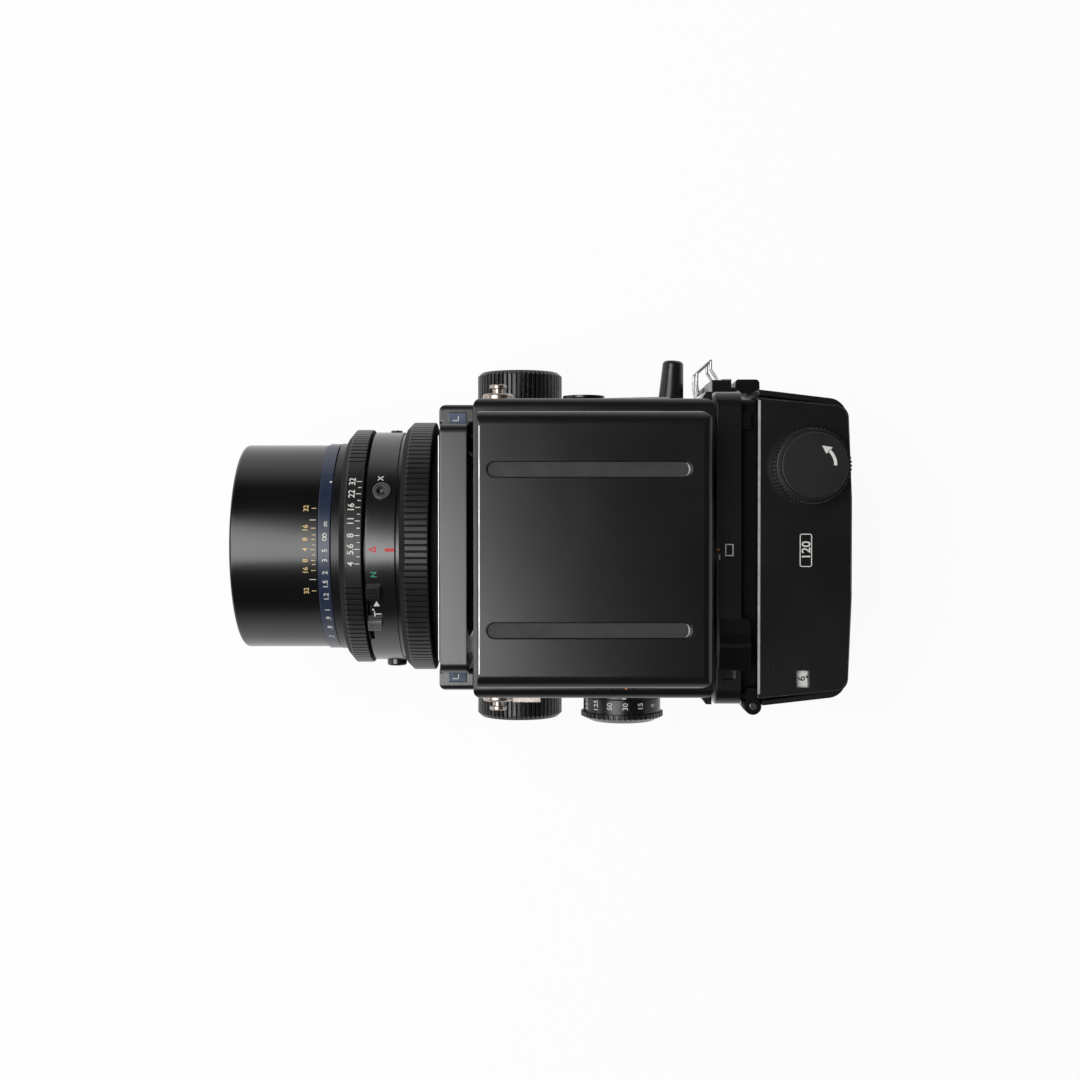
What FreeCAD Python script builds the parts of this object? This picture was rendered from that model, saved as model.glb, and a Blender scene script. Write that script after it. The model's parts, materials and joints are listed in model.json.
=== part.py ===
import FreeCAD, Part
import math
import os

# Medium format single lens reflex camera with waist level finder, wide lens and revolving roll film back.
# Millimetres. +Z up, the lens looks along -Y, +X is the camera's left side.
# The origin is the mouth of the tripod socket, on the base plane.

os.makedirs("parts", exist_ok=True)
V = FreeCAD.Vector

# Overall layout
axis_z = 57.0
running_gap = 0.08
small_gap = 0.15
part_gap = 0.3
plate_gap = 0.4

# Body
body_half_w = 55.2
body_front_y = -44.0
body_rear_y = 44.0
deck_z = 109.0
deck_edge_r = 3.7
rear_frame_half_w = 57.9
rear_frame_half_h = 46.0
body_corner_r = 3.0
base_plate_t = 3.0
base_plate_inset = 2.5
mirror_box_half_w = 38.5
mirror_box_low_z = 20.0
mirror_box_top_z = 100.0
mirror_box_rear_y = 41.0
ledge_y = -38.0
ledge_t = 2.0
ledge_half = 31.0
cover_t = 0.8
socket_bush_r = 9.0
socket_bush_h = 10.0
socket_thread_r = 3.2
socket_depth = 8.0

# Focusing screen
screen_half_w = 36.5
screen_front_y = -28.0
screen_rear_y = 39.0
screen_low_z = 106.0
screen_t = 2.0
screen_lip = 1.8

# Mirror and light baffle
mirror_hinge_y = 38.9
mirror_hinge_z = 90.0
mirror_half_w = 36.5
mirror_length = 72.0
mirror_glass_t = 2.0
mirror_frame_t = 1.6
mirror_pin_r = 1.2
baffle_hinge_y = 39.8
baffle_hinge_z = 83.4
baffle_length = 60.0
baffle_t = 1.0

# Focusing drive
knob_axis_y = -28.0
knob_axis_z = 32.0
knob_r = 17.5
knob_inner_x = 56.8
knob_outer_x = 71.6
knob_ribs = 56
shaft_r = 2.5
gear_module = 0.8
gear_teeth = 12
gear_backlash = 0.2
gear_inner_x = 44.6
gear_outer_x = 49.2
rack_inner_x = 44.2
rack_outer_x = 49.6
rack_height = 7.0
rack_rear_y = 24.0
lock_reach = 24.0
lock_tab_front_y = -30.5
lock_tab_rear_y = -19.4
lock_tab_x = 63.1

# Front standard and bellows
standard_front_y = -56.4
standard_rear_y = -46.5
standard_top_z = 107.0
standard_flat_half = 42.6
standard_half_w = 46.0
standard_low_z = 6.0
standard_low_half = 32.0
standard_throat_r = 29.0
wing_half_w = 54.0
wing_low_z = 24.0
wing_top_z = 92.0
wing_front_y = -57.6
wing_rear_y = -44.8
scale_plate_t = 0.4
bellows_half = 34.5
bellows_depth = 4.5
bellows_wall = 1.6
bellows_pleats = 6
bellows_front_y = -53.0
bellows_room = 36.5

# Lens
barrel_r = 40.25
barrel_front_y = -136.2
barrel_rear_y = -103.0
filter_thread_r = 38.5
filter_thread_depth = 4.5
core_r = 36.0
core_front_y = -121.0
core_rear_y = -60.2
core_bore_r = 24.0
element_r = 31.0
distance_ring_r = 40.8
distance_ring_rear_y = -98.0
band_r = 41.0
band_rear_y = -94.7
aperture_ring_r = 46.4
aperture_ring_rear_y = -85.6
rear_barrel_r = 45.4
rear_barrel_front_y = -84.6
rear_barrel_rear_y = -73.3
thin_ring_r = 44.6
bayonet_front_y = -71.8
bayonet_rear_y = -60.4
bayonet_r = 49.3
bayonet_ribs = 130
flange_front_r = 46.4
flange_rear_r = 48.6
rear_tube_r = 27.0
rear_tube_y = -39.0
rear_element_r = 22.0
shutter_room_front_y = -81.0
shutter_room_rear_y = -77.0
blade_in_r = 25.0
blade_out_r = 33.5
sync_angle = -27.7
sync_y = -78.8
sync_r = 3.3
lever_y = -81.7
time_lever_angle = 21.0
preview_lever_angle = 38.5

# Shutter release
chin_in_x = -33.0
chin_top_z = 22.0
chin_front_y = -58.0
release_x = -45.0
release_z = 12.0
release_r = 5.6
release_front_y = -63.0
collar_in_r = 7.0
collar_out_r = 9.2

# Side controls
dial_y = 12.5
dial_z = 72.0
dial_r = 15.0
dial_flange_r = 16.0
dial_flange_x = 64.0
dial_slope_x = 65.9
dial_face_r = 12.2
dial_ribs = 47
dial_outer_x = 67.7
dial_collar_r = 15.6
dial_collar_x = 58.3
dial_pin_r = 3.0
lever_pivot_y = -2.0
lever_pivot_z = 55.0
lever_grip_y = 32.0
lever_grip_z = 67.0
lever_outer_x = 73.0
grip_base_r = 4.9
grip_tip_r = 4.0
grip_lean = 3.5
lug_y = -35.4
lug_z = 92.0
lug_disc_r = 5.8
lug_disc_x = 58.0
lug_stem_r = 2.0
lug_head_r = 3.2
lug_head_x = 61.3

# Waist level finder
finder_half_w = 48.8
finder_front_y = -41.6
finder_rear_y = 41.3
finder_wall = 1.8
finder_corner_r = 5.0
finder_floor_t = 1.8
finder_base_top_z = 120.2
lid_low_z = 120.6
lid_top_z = 133.5
lid_top_t = 2.0
lid_edge_r = 4.6
lid_hinge_y = -40.5
lid_hinge_z = 120.6
groove_x = 28.2
groove_half_w = 2.8
groove_front_y = -38.2
groove_rear_y = 33.5
groove_depth = 0.8
leaf_t = 0.8
leaf_pin_r = 1.1
side_leaf_x = 45.0
side_leaf_z = 112.9
side_leaf_height = 40.0
side_leaf_front_slant = 8.0
side_leaf_rear_slant = 19.0
rear_leaf_y = 36.4
rear_leaf_z = 124.2
rear_leaf_height = 32.0
rear_leaf_half_w = 42.0
magnifier_half_w = 20.0
magnifier_hinge_y = -4.5
magnifier_length = 38.0
magnifier_t = 3.0
magnifier_lens_r = 15.0

# Revolving adapter and roll film magazine
adapter_front_y = 45.4
adapter_rear_y = 54.6
adapter_half_w = 58.0
adapter_half_h = 49.0
adapter_corner_r = 6.0
block_x = -65.0
block_front_y = 47.4
block_rear_y = 55.05
block_low_z = 47.5
block_top_z = 73.0
boss_front_y = 42.0
boss_r = 46.9
gate_half_w = 35.0
gate_half_h = 28.0
frame_rear_y = 60.4
magazine_half_h = 50.0
plate_rear_y = 93.6
plate_bow = 1.4
bow_half = 18.0
plate_front_half = 55.3
plate_rear_half = 52.4
plate_t = 2.4
plate_corner_r = 5.0
shelf_rear_y = 89.5
shelf_half = 50.0
magazine_frame_half_h = 44.6
door_front_half = 58.6
door_rear_half = 54.7
door_rear_y = 93.4
door_front_y = 61.0
door_wall = 2.0
door_corner_r = 7.0
door_hinge_x = 58.2
door_hinge_y = 58.8
door_ear_r = 3.1
door_pin_r = 1.2
knob2_x = -30.1
knob2_y = 79.2
knob2_cap_r = 12.0
knob2_rim_r = 13.9
knob2_top_z = 119.0
spool_x = 30.1
spool_core_r = 6.0
spool_flange_r = 12.6
spool_half_len = 33.0
roller_x = 49.0
roller_y = 65.0
roller_r = 3.0
slide_plate_y = 55.3
slide_plate_t = 0.8
slide_plate_half_h = 31.0
slide_plate_in_x = 40.0
slide_plate_out_x = -59.5
handle_wire_r = 0.6
slide_lock_in_x = 26.0
slide_lock_out_x = 45.0
slide_lock_travel = 5.0
slide_lock_rear_y = 57.8
counter_x = 43.0
counter_y = 77.0
counter_r = 9.5


def to_world(plane, a, b, c):
    if plane == "x":
        return V(c, a, b)
    if plane == "y":
        return V(a, c, b)
    return V(a, b, c)


def outline(points, plane, level):
    """Closed face through corners (a, b, radius), with a tangent arc at each corner with a radius."""
    corners = [(p[0], p[1], p[2] if len(p) > 2 else 0.0) for p in points]
    count = len(corners)
    starts = []
    for i in range(count):
        a, b, r = corners[i]
        if r <= 0:
            starts.append(((a, b), (a, b), None))
            continue
        pa = corners[i - 1]
        pb = corners[(i + 1) % count]
        ua = (pa[0] - a, pa[1] - b)
        ub = (pb[0] - a, pb[1] - b)
        la = math.hypot(*ua)
        lb = math.hypot(*ub)
        ua = (ua[0] / la, ua[1] / la)
        ub = (ub[0] / lb, ub[1] / lb)
        half = math.acos(max(-1.0, min(1.0, ua[0] * ub[0] + ua[1] * ub[1]))) / 2
        t = r / math.tan(half)
        mid = (ua[0] + ub[0], ua[1] + ub[1])
        lm = math.hypot(*mid)
        d = r / math.sin(half) - r
        m = (a + mid[0] / lm * d, b + mid[1] / lm * d)
        starts.append(((a + ua[0] * t, b + ua[1] * t), (a + ub[0] * t, b + ub[1] * t), m))
    edges = []
    for i in range(count):
        first, last, mid = starts[i]
        if mid:
            p = to_world(plane, first[0], first[1], level)
            q = to_world(plane, mid[0], mid[1], level)
            s = to_world(plane, last[0], last[1], level)
            edges.append(Part.Arc(p, q, s).toShape())
        nxt = starts[(i + 1) % count][0]
        if math.hypot(nxt[0] - last[0], nxt[1] - last[1]) > 1e-6:
            p = to_world(plane, last[0], last[1], level)
            q = to_world(plane, nxt[0], nxt[1], level)
            edges.append(Part.LineSegment(p, q).toShape())
    return Part.Face(Part.Wire(edges))


def prism(points, plane, low, high):
    face = outline(points, plane, low)
    step = {"x": V(high - low, 0, 0), "y": V(0, high - low, 0), "z": V(0, 0, high - low)}[plane]
    return face.extrude(step)


def rect(a0, a1, b0, b1, r=0.0):
    return [(a0, b0, r), (a1, b0, r), (a1, b1, r), (a0, b1, r)]


def box(x0, x1, y0, y1, z0, z1):
    return Part.makeBox(x1 - x0, y1 - y0, z1 - z0, V(x0, y0, z0))


def cyl_x(r, x0, x1, y, z):
    return Part.makeCylinder(r, x1 - x0, V(x0, y, z), V(1, 0, 0))


def cyl_y(r, y0, y1, x=0.0, z=axis_z):
    return Part.makeCylinder(r, y1 - y0, V(x, y0, z), V(0, 1, 0))


def cyl_z(r, z0, z1, x, y):
    return Part.makeCylinder(r, z1 - z0, V(x, y, z0), V(0, 0, 1))


def turned(points, axis="y", centre=(0.0, axis_z)):
    """Solid of revolution from corners (radius, height along the axis, corner radius)."""
    c0, c1 = centre
    flat = [(p[0], p[1]) + tuple(p[2:]) for p in points]
    face = outline(flat, "z", 0.0)
    solid = face.revolve(V(0, 0, 0), V(0, 1, 0), 360)
    m = FreeCAD.Matrix()
    if axis == "x":
        m = FreeCAD.Matrix(0, 1, 0, 0, 1, 0, 0, c0, 0, 0, -1, c1, 0, 0, 0, 1)
    elif axis == "z":
        m = FreeCAD.Matrix(1, 0, 0, c0, 0, 0, -1, c1, 0, 1, 0, 0, 0, 0, 0, 1)
    else:
        m = FreeCAD.Matrix(1, 0, 0, c0, 0, 1, 0, 0, 0, 0, 1, c1, 0, 0, 0, 1)
    return solid.transformed(m)


def fuse(shapes):
    first = shapes[0]
    rest = shapes[1:]
    if not rest:
        return first
    return first.fuse(rest).removeSplitter()


def cut(shape, tools):
    return shape.cut(tools).removeSplitter() if tools else shape


def turn(shape, degrees, axis, centre):
    s = shape.copy()
    s.rotate(centre, axis, degrees)
    return s


def mirror_x(shape):
    return shape.mirror(V(0, 0, 0), V(1, 0, 0))


def polar(r, degrees):
    """Point at an angle from straight up, positive towards the camera's left."""
    a = math.radians(degrees)
    return (r * math.sin(a), axis_z + r * math.cos(a))


def ribbed(r_out, r_in, count, smooth=None, share=0.55):
    """Corners of a ribbed circle about the lens axis, left plain over the smooth angles."""
    pts = []
    step = 360.0 / count
    for k in range(count):
        mid = k * step
        rel = mid if mid <= 180 else mid - 360
        if smooth and smooth[0] <= rel <= smooth[1]:
            pts.append(polar(r_out, mid - step * share / 2))
            pts.append(polar(r_out, mid + step * share / 2))
            continue
        pts.append(polar(r_in, mid - step * 0.5 + step * 0.08))
        pts.append(polar(r_out, mid - step * share / 2))
        pts.append(polar(r_out, mid + step * share / 2))
        pts.append(polar(r_in, mid + step * 0.5 - step * 0.08))
    return pts


def ribbed_disc(axis, centre, r_out, r_in, count, low, high, share=0.5):
    pts = []
    step = 2 * math.pi / count
    for k in range(count):
        for f, r in ((-0.5 + 0.1, r_in), (-share / 2, r_out), (share / 2, r_out), (0.5 - 0.1, r_in)):
            a = (k + f) * step
            pts.append((centre[0] + r * math.cos(a), centre[1] + r * math.sin(a)))
    return prism(pts, axis, low, high)


def glass(y_front, y_edge_front, y_edge_rear, y_rear, r):
    """Round lens about the lens axis with two curved faces."""
    def arc(ya, yb):
        mid_r = r / 2
        mid_y = ya + (yb - ya) * 0.25
        return Part.Arc(V(0, ya, 0), V(mid_r, mid_y, 0), V(r, yb, 0)).toShape()
    edges = [
        arc(y_front, y_edge_front),
        Part.LineSegment(V(r, y_edge_front, 0), V(r, y_edge_rear, 0)).toShape(),
        arc(y_rear, y_edge_rear),
        Part.LineSegment(V(0, y_rear, 0), V(0, y_front, 0)).toShape(),
    ]
    face = Part.Face(Part.Wire(Part.__sortEdges__(edges)))
    solid = face.revolve(V(0, 0, 0), V(0, 1, 0), 360)
    solid.translate(V(0, 0, axis_z))
    return solid


def save(name, shape):
    solids = shape.Solids
    bad = [s for s in solids if not s.isValid() or s.Volume <= 0]
    out = solids[0] if len(solids) == 1 else Part.makeCompound(solids)
    out.exportStep("parts/" + name + ".step")
    print(name, len(solids), round(sum(s.Volume for s in solids) / 1000, 3), "cm3", "BAD" if bad else "")


# Body shell
def body_plan(inset=0.0):
    w = body_half_w - inset
    return rect(-w, w, body_front_y + inset, body_rear_y - inset, body_corner_r)


def make_body():
    w = body_half_w
    side = [(-w, base_plate_t), (w, base_plate_t), (w, deck_z, deck_edge_r), (-w, deck_z, deck_edge_r)]
    shell = prism(side, "y", body_front_y, body_rear_y)
    shell = shell.common(prism(body_plan(), "z", base_plate_t, deck_z))
    chin = prism([(-w, base_plate_t), (chin_in_x, base_plate_t), (chin_in_x, chin_top_z, 2.5),
                  (-w, chin_top_z, 2.5)], "y", chin_front_y, body_front_y + 4)
    boss = cyl_y(collar_in_r - running_gap, chin_front_y - 2.4, chin_front_y + 1, release_x, release_z)
    # Frame that the revolving back turns on, a little wider than the body
    y0 = body_rear_y - 3.9
    frame_pts = [(-w + 1, y0 - 1), (w - 1, y0 - 1), (w, y0), (rear_frame_half_w, y0 + 1.8), (rear_frame_half_w, body_rear_y),
                 (-rear_frame_half_w, body_rear_y), (-rear_frame_half_w, y0 + 1.8), (-w, y0)]
    rear_frame = prism(frame_pts, "z", axis_z - rear_frame_half_h, axis_z + rear_frame_half_h)
    shell = fuse([shell, chin, boss, rear_frame])
    tools = []
    # Room for the mirror, open to the lens, the film and the screen
    tools.append(box(-mirror_box_half_w, mirror_box_half_w, ledge_y + ledge_t, mirror_box_rear_y,
                     mirror_box_low_z, mirror_box_top_z))
    tools.append(box(-ledge_half, ledge_half, ledge_y - 1, ledge_y + ledge_t + 1,
                     axis_z - ledge_half, axis_z + ledge_half))
    tools.append(box(-bellows_room, bellows_room, body_front_y - 1, ledge_y,
                     axis_z - bellows_room, axis_z + bellows_room))
    tools.append(box(-screen_half_w + screen_lip, screen_half_w - screen_lip,
                     screen_front_y + screen_lip, screen_rear_y - screen_lip, mirror_box_top_z - 1, deck_z + 1))
    tools.append(box(-screen_half_w - small_gap, screen_half_w + small_gap,
                     screen_front_y - small_gap, screen_rear_y + small_gap, screen_low_z, deck_z + 1))
    tools.append(cyl_y(boss_r + running_gap, mirror_box_rear_y - 0.5, body_rear_y + 1))
    # Channels for the racks and pinions on both sides
    for s in (-1, 1):
        x0, x1 = sorted((s * (rack_inner_x - 1.2), s * (rack_outer_x + 1.0)))
        tools.append(box(x0, x1, body_front_y + 3, rack_rear_y + 2, knob_axis_z - 8, knob_axis_z + 14.5))
        x0, x1 = sorted((s * (rack_inner_x - part_gap), s * (rack_outer_x + part_gap)))
        tools.append(box(x0, x1, body_front_y - 1, body_front_y + 4,
                         rack_low() - 1.2, rack_low() + rack_height + part_gap))
    tools.append(cyl_x(shaft_r + running_gap, -body_half_w - 1, body_half_w + 1, knob_axis_y, knob_axis_z))
    # Bearings of the mirror and the baffle in the walls of the mirror box
    for y, z in ((mirror_hinge_y, mirror_hinge_z), (baffle_hinge_y, baffle_hinge_z)):
        reach = mirror_box_half_w + 2.6
        tools.append(cyl_x(mirror_pin_r + running_gap, -reach, reach, y, z))
    # Seats for the bush, the release, the dial, the cocking lever and the lugs
    tools.append(cyl_z(socket_bush_r + 0.02, 0, socket_bush_h + 0.1, 0, 0))
    tools.append(cyl_y(release_r + running_gap, chin_front_y - 5, body_front_y + 1, release_x, release_z))
    tools.append(cyl_x(dial_pin_r + running_gap, body_half_w - 7, dial_collar_x + 1, dial_y, dial_z))
    tools.append(cyl_x(dial_pin_r + running_gap, -body_half_w - 1, -body_half_w + 7, lever_pivot_y, lever_pivot_z))
    for s in (-1, 1):
        x0, x1 = sorted((s * (body_half_w - 5), s * (body_half_w + 1)))
        tools.append(cyl_x(lug_stem_r + 0.02, x0, x1, lug_y, lug_z))
        x0, x1 = sorted((s * (body_half_w - cover_t), s * (body_half_w + 1)))
        tools.append(prism(cover_outline(), "x", x0, x1))
    for x, y in screw_places():
        tools.append(cyl_z(1.52, 0, 9.1, x, y))
    shell = cut(shell, tools)
    # Fixed collar that carries the speed dial and its index
    collar = cut(cyl_x(dial_collar_r, body_half_w - cover_t - 1, dial_collar_x, dial_y, dial_z),
                 [cyl_x(dial_pin_r + running_gap, body_half_w - 7, dial_collar_x + 1, dial_y, dial_z)])
    return fuse([shell, collar])


def cover_outline(gap=0.0):
    return [(body_front_y + 4 + gap, 8 + gap, 3.0), (body_rear_y - 4 - gap, 8 + gap, 3.0),
            (body_rear_y - 4 - gap, 98 - gap, 3.0), (lug_y + lug_disc_r + 3 + gap, 98 - gap, 3.0),
            (lug_y + lug_disc_r + 3 + gap, lug_z - lug_disc_r - 3 - gap, 3.0),
            (body_front_y + 4 + gap, lug_z - lug_disc_r - 3 - gap, 3.0)]


def screw_places():
    x = body_half_w - 8
    y = body_rear_y - 7
    return [(-x, -y), (x, -y), (-x, y), (x, y)]


def rack_low():
    """Height of the rack's tooth tips."""
    return knob_axis_z + pitch_r() - 0.5


def pitch_r():
    return gear_module * gear_teeth / 2


def make_cover(s, holes):
    x0, x1 = sorted((s * (body_half_w - cover_t + 0.02), s * body_half_w))
    skin = prism(cover_outline(0.1), "x", x0, x1)
    tools = [cyl_x(r, x0 - 1, x1 + 1, y, z) for y, z, r in holes]
    return cut(skin, tools)


save("body_shell", make_body())
inset = base_plate_inset
base = prism(rect(-body_half_w + inset, body_half_w - inset, body_front_y + inset, body_rear_y - inset, 4.0),
             "z", 0, base_plate_t)
base_tools = [cyl_z(socket_bush_r + 0.02, -1, base_plate_t + 1, 0, 0)]
for sx, sy in screw_places():
    base_tools.append(cyl_z(1.52, -1, base_plate_t + 1, sx, sy))
    base_tools.append(cyl_z(2.92, -1, 1.5, sx, sy))
save("base_plate", cut(base, base_tools))
bush = cyl_z(socket_bush_r, 0, socket_bush_h, 0, 0)
bush = cut(bush, [cyl_z(socket_thread_r, -1, socket_depth, 0, 0)])
save("tripod_socket", bush)
screws = []
for sx, sy in screw_places():
    head = cyl_z(2.9, 0.1, 1.5, sx, sy)
    stem = cyl_z(1.5, 1.5, 9.0, sx, sy)
    slot_a = box(sx - 1.6, sx + 1.6, sy - 0.3, sy + 0.3, 0, 0.8)
    slot_b = box(sx - 0.3, sx + 0.3, sy - 1.6, sy + 1.6, 0, 0.8)
    screws.append(cut(fuse([head, stem]), [slot_a, slot_b]))
save("body_screws", Part.makeCompound(screws))
knob_hole = (knob_axis_y, knob_axis_z, shaft_r + 0.8)
dial_hole = (dial_y, dial_z, dial_collar_r + 0.1)
lever_hole = (lever_pivot_y, lever_pivot_z, dial_pin_r + 1.0)
save("left_side_cover", make_cover(1, [knob_hole, dial_hole]))
save("right_side_cover", make_cover(-1, [knob_hole, lever_hole]))
screen = box(-screen_half_w, screen_half_w, screen_front_y, screen_rear_y, screen_low_z, screen_low_z + screen_t)
save("focusing_screen", screen)

# Strap lugs
lugs = []
for s in (-1, 1):
    disc = [(0, body_half_w), (lug_disc_r, body_half_w), (lug_disc_r, lug_disc_x - 0.2, 0.8), (0, lug_disc_x - 0.2)]
    stem = [(0, body_half_w - 4.8), (lug_stem_r, body_half_w - 4.8), (lug_stem_r, lug_head_x - 1.6),
            (lug_head_r, lug_head_x - 1.4), (lug_head_r, lug_head_x, 0.5), (0, lug_head_x)]
    lug = fuse([turned(disc, "x", (lug_y, lug_z)), turned(stem, "x", (lug_y, lug_z))])
    lugs.append(lug if s > 0 else mirror_x(lug))
save("strap_lugs", Part.makeCompound(lugs))

# Reflex mirror, drawn flat under the screen and then let down by 45 degrees
hinge = V(0, mirror_hinge_y, mirror_hinge_z)
down = 45
y_end = mirror_hinge_y - mirror_length
glass_low = mirror_hinge_z - mirror_glass_t
mirror_plate = box(-mirror_half_w + 1, mirror_half_w - 1, y_end + 1, mirror_hinge_y - 2.2, glass_low, mirror_hinge_z)
save("mirror_glass", turn(mirror_plate, down, V(1, 0, 0), hinge))
back = box(-mirror_half_w, mirror_half_w, y_end, mirror_hinge_y - 1.9, glass_low - mirror_frame_t, glass_low)
lip_front = box(-mirror_half_w, mirror_half_w, y_end, y_end + 0.98, glass_low, mirror_hinge_z - 0.6)
knuckle = cyl_x(mirror_pin_r + 0.7, -mirror_half_w, mirror_half_w, mirror_hinge_y, mirror_hinge_z)
arm = box(-mirror_half_w, mirror_half_w, mirror_hinge_y - 2.15, mirror_hinge_y, glass_low - mirror_frame_t + 1.0,
          mirror_hinge_z - 0.3)
pin = cyl_x(mirror_pin_r, -mirror_box_half_w - 2.4, mirror_box_half_w + 2.4, mirror_hinge_y, mirror_hinge_z)
frame = fuse([back, lip_front, arm, knuckle, pin])
save("mirror_frame", turn(frame, down, V(1, 0, 0), hinge))
baffle = box(-mirror_half_w, mirror_half_w, baffle_hinge_y - baffle_t / 2, baffle_hinge_y + baffle_t / 2,
             baffle_hinge_z - baffle_length, baffle_hinge_z)
tube_b = cyl_x(mirror_pin_r, -mirror_box_half_w - 2.4, mirror_box_half_w + 2.4, baffle_hinge_y, baffle_hinge_z)
save("light_baffle", fuse([baffle, tube_b]))

# Shutter release and its collar
button = turned([(0, chin_front_y + 6), (release_r, chin_front_y + 6), (release_r, release_front_y, 1.2),
                 (1.4, release_front_y), (1.4, release_front_y + 2.5), (0, release_front_y + 2.5)], "y", (0, 0))
button.translate(V(release_x, 0, release_z))
save("shutter_release_button", button)
collar = turned([(collar_in_r, chin_front_y - 0.2), (collar_out_r, chin_front_y - 0.2),
                 (collar_out_r, chin_front_y - 2.6, 0.6), (collar_in_r, chin_front_y - 2.6)], "y", (0, 0))
collar.translate(V(release_x, 0, release_z))
tab = box(release_x - 1.5, release_x + 1.5, chin_front_y - 2.6, chin_front_y - 0.4,
          release_z + collar_out_r - 1, release_z + collar_out_r + 1.6)
save("release_collar", fuse([collar, tab]))

# Shutter speed dial on the camera's left side
dial_in_x = dial_collar_x + part_gap
dial = turned([(0, dial_in_x), (dial_r, dial_in_x), (dial_r, dial_flange_x), (dial_flange_r - 0.6, dial_flange_x),
               (dial_flange_r - 0.6, dial_slope_x - 0.2), (dial_face_r - 0.4, dial_outer_x - 0.2),
               (0, dial_outer_x - 0.2)], "x", (dial_y, dial_z))
knurl = ribbed_disc("x", (dial_y, dial_z), dial_flange_r, dial_flange_r - 0.7, dial_ribs, dial_flange_x + 0.2,
                    dial_outer_x)
dial_cone = turned([(0, dial_flange_x), (dial_flange_r + 1, dial_flange_x), (dial_flange_r + 1, dial_slope_x - 0.5),
                    (dial_face_r, dial_outer_x), (0, dial_outer_x)], "x", (dial_y, dial_z))
knurl = knurl.common(dial_cone)
dial_pin = cyl_x(dial_pin_r, body_half_w - 6.5, dial_in_x + 1, dial_y, dial_z)
save("shutter_speed_dial", fuse([dial, knurl, dial_pin]))

# Cocking lever on the camera's right side
arm_in = -body_half_w - part_gap
arm_out = arm_in - 3.0
ay, az = lever_pivot_y, lever_pivot_z
gy, gz = lever_grip_y, lever_grip_z
reach = math.hypot(gy - ay, gz - az)
tilt = math.degrees(math.atan2(gz - az, gy - ay))
arm_pts = [(ay, az - 8.5, 8.0), (ay + reach + 4.6, az - 5.6, 4.5), (ay + reach + 4.6, az + 5.6, 4.5), (ay, az + 8.5, 8.0),
           (ay - 9.5, az + 8.5, 8.0), (ay - 9.5, az - 8.5, 8.0)]
arm_body = prism(arm_pts, "x", arm_out, arm_in)
arm_body = turn(arm_body, tilt, V(1, 0, 0), V(0, ay, az))
hub = turned([(0, 0), (dial_pin_r + 5.4, 0), (dial_pin_r + 5.4, 1.6, 0.7), (0, 1.6)], "x", (ay, az))
hub.translate(V(arm_out - 1.6, 0, 0))
arm_pin = cyl_x(dial_pin_r, arm_out, -body_half_w + 6.5, ay, az)
stud = cyl_x(2.0, -lever_outer_x + 3, arm_out + 1, gy, gz)
save("cocking_lever_arm", fuse([arm_body, hub, arm_pin, stud]))
grip_base_x = -arm_out + 0.02
grip = turned([(0, grip_base_x - 2), (grip_base_r + 0.1, grip_base_x - 2), (grip_tip_r, lever_outer_x, 1.6),
               (0, lever_outer_x)], "x", (gy, gz))
grip = turn(grip, grip_lean, V(0, 0, 1), V(grip_base_x, gy, gz))
grip = grip.common(box(grip_base_x, lever_outer_x + 2, gy - 12, gy + 12, gz - 12, gz + 12))
grip_bore = cyl_x(2.02, grip_base_x - 1, lever_outer_x - 2.9, gy, gz)
save("cocking_lever_grip", mirror_x(cut(grip, [grip_bore])))

# Focus lock lever between the body's left side and the knob
lock_in = body_half_w + part_gap
lock_out = knob_inner_x - part_gap
lock_ring = cyl_x(8.0, lock_in, lock_out, knob_axis_y, knob_axis_z)
lock_top_z = knob_axis_z + lock_reach
lock_arm = prism([(knob_axis_y - 4, knob_axis_z), (knob_axis_y + 4, knob_axis_z), (lock_tab_rear_y, lock_top_z),
                  (lock_tab_front_y, lock_top_z)], "x", lock_in, lock_out)
lock_tab = box(lock_in, lock_tab_x, lock_tab_front_y, lock_tab_rear_y, lock_top_z - 1.6, lock_top_z)
lock_bore = cyl_x(shaft_r + running_gap, lock_in - 1, lock_out + 1, knob_axis_y, knob_axis_z)
save("focus_lock_lever", cut(fuse([lock_ring, lock_arm, lock_tab]), [lock_bore]))


# Pinion shaft with two pinions
def involute(base, r):
    t = math.sqrt(max(0.0, (r / base) ** 2 - 1))
    return t - math.atan(t)


def gear_points():
    rp = pitch_r()
    rb = rp * math.cos(math.radians(20))
    ro = rp + gear_module
    rr = rp - 0.9
    half = math.pi / gear_teeth / 2 - gear_backlash / (2 * rp)
    inv_p = involute(rb, rp)
    pts = []
    radii = [rb, rb + (ro - rb) * 0.35, rb + (ro - rb) * 0.7, ro]
    for k in range(gear_teeth):
        mid = math.pi / 2 + k * 2 * math.pi / gear_teeth
        flank = [(r, half + inv_p - involute(rb, r)) for r in radii]
        pts.append((rr, mid - flank[0][1]))
        pts += [(r, mid - a) for r, a in flank]
        pts += [(r, mid + a) for r, a in reversed(flank)]
        pts.append((rr, mid + flank[0][1]))
    return [(knob_axis_y + r * math.cos(a), knob_axis_z + r * math.sin(a)) for r, a in pts]


shaft_end = knob_outer_x - 3.0
shaft = cyl_x(shaft_r, -shaft_end, shaft_end, knob_axis_y, knob_axis_z)
gears = [prism(gear_points(), "x", gear_inner_x, gear_outer_x), prism(gear_points(), "x", -gear_outer_x, -gear_inner_x)]
save("pinion_shaft", fuse([shaft] + gears))


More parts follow.
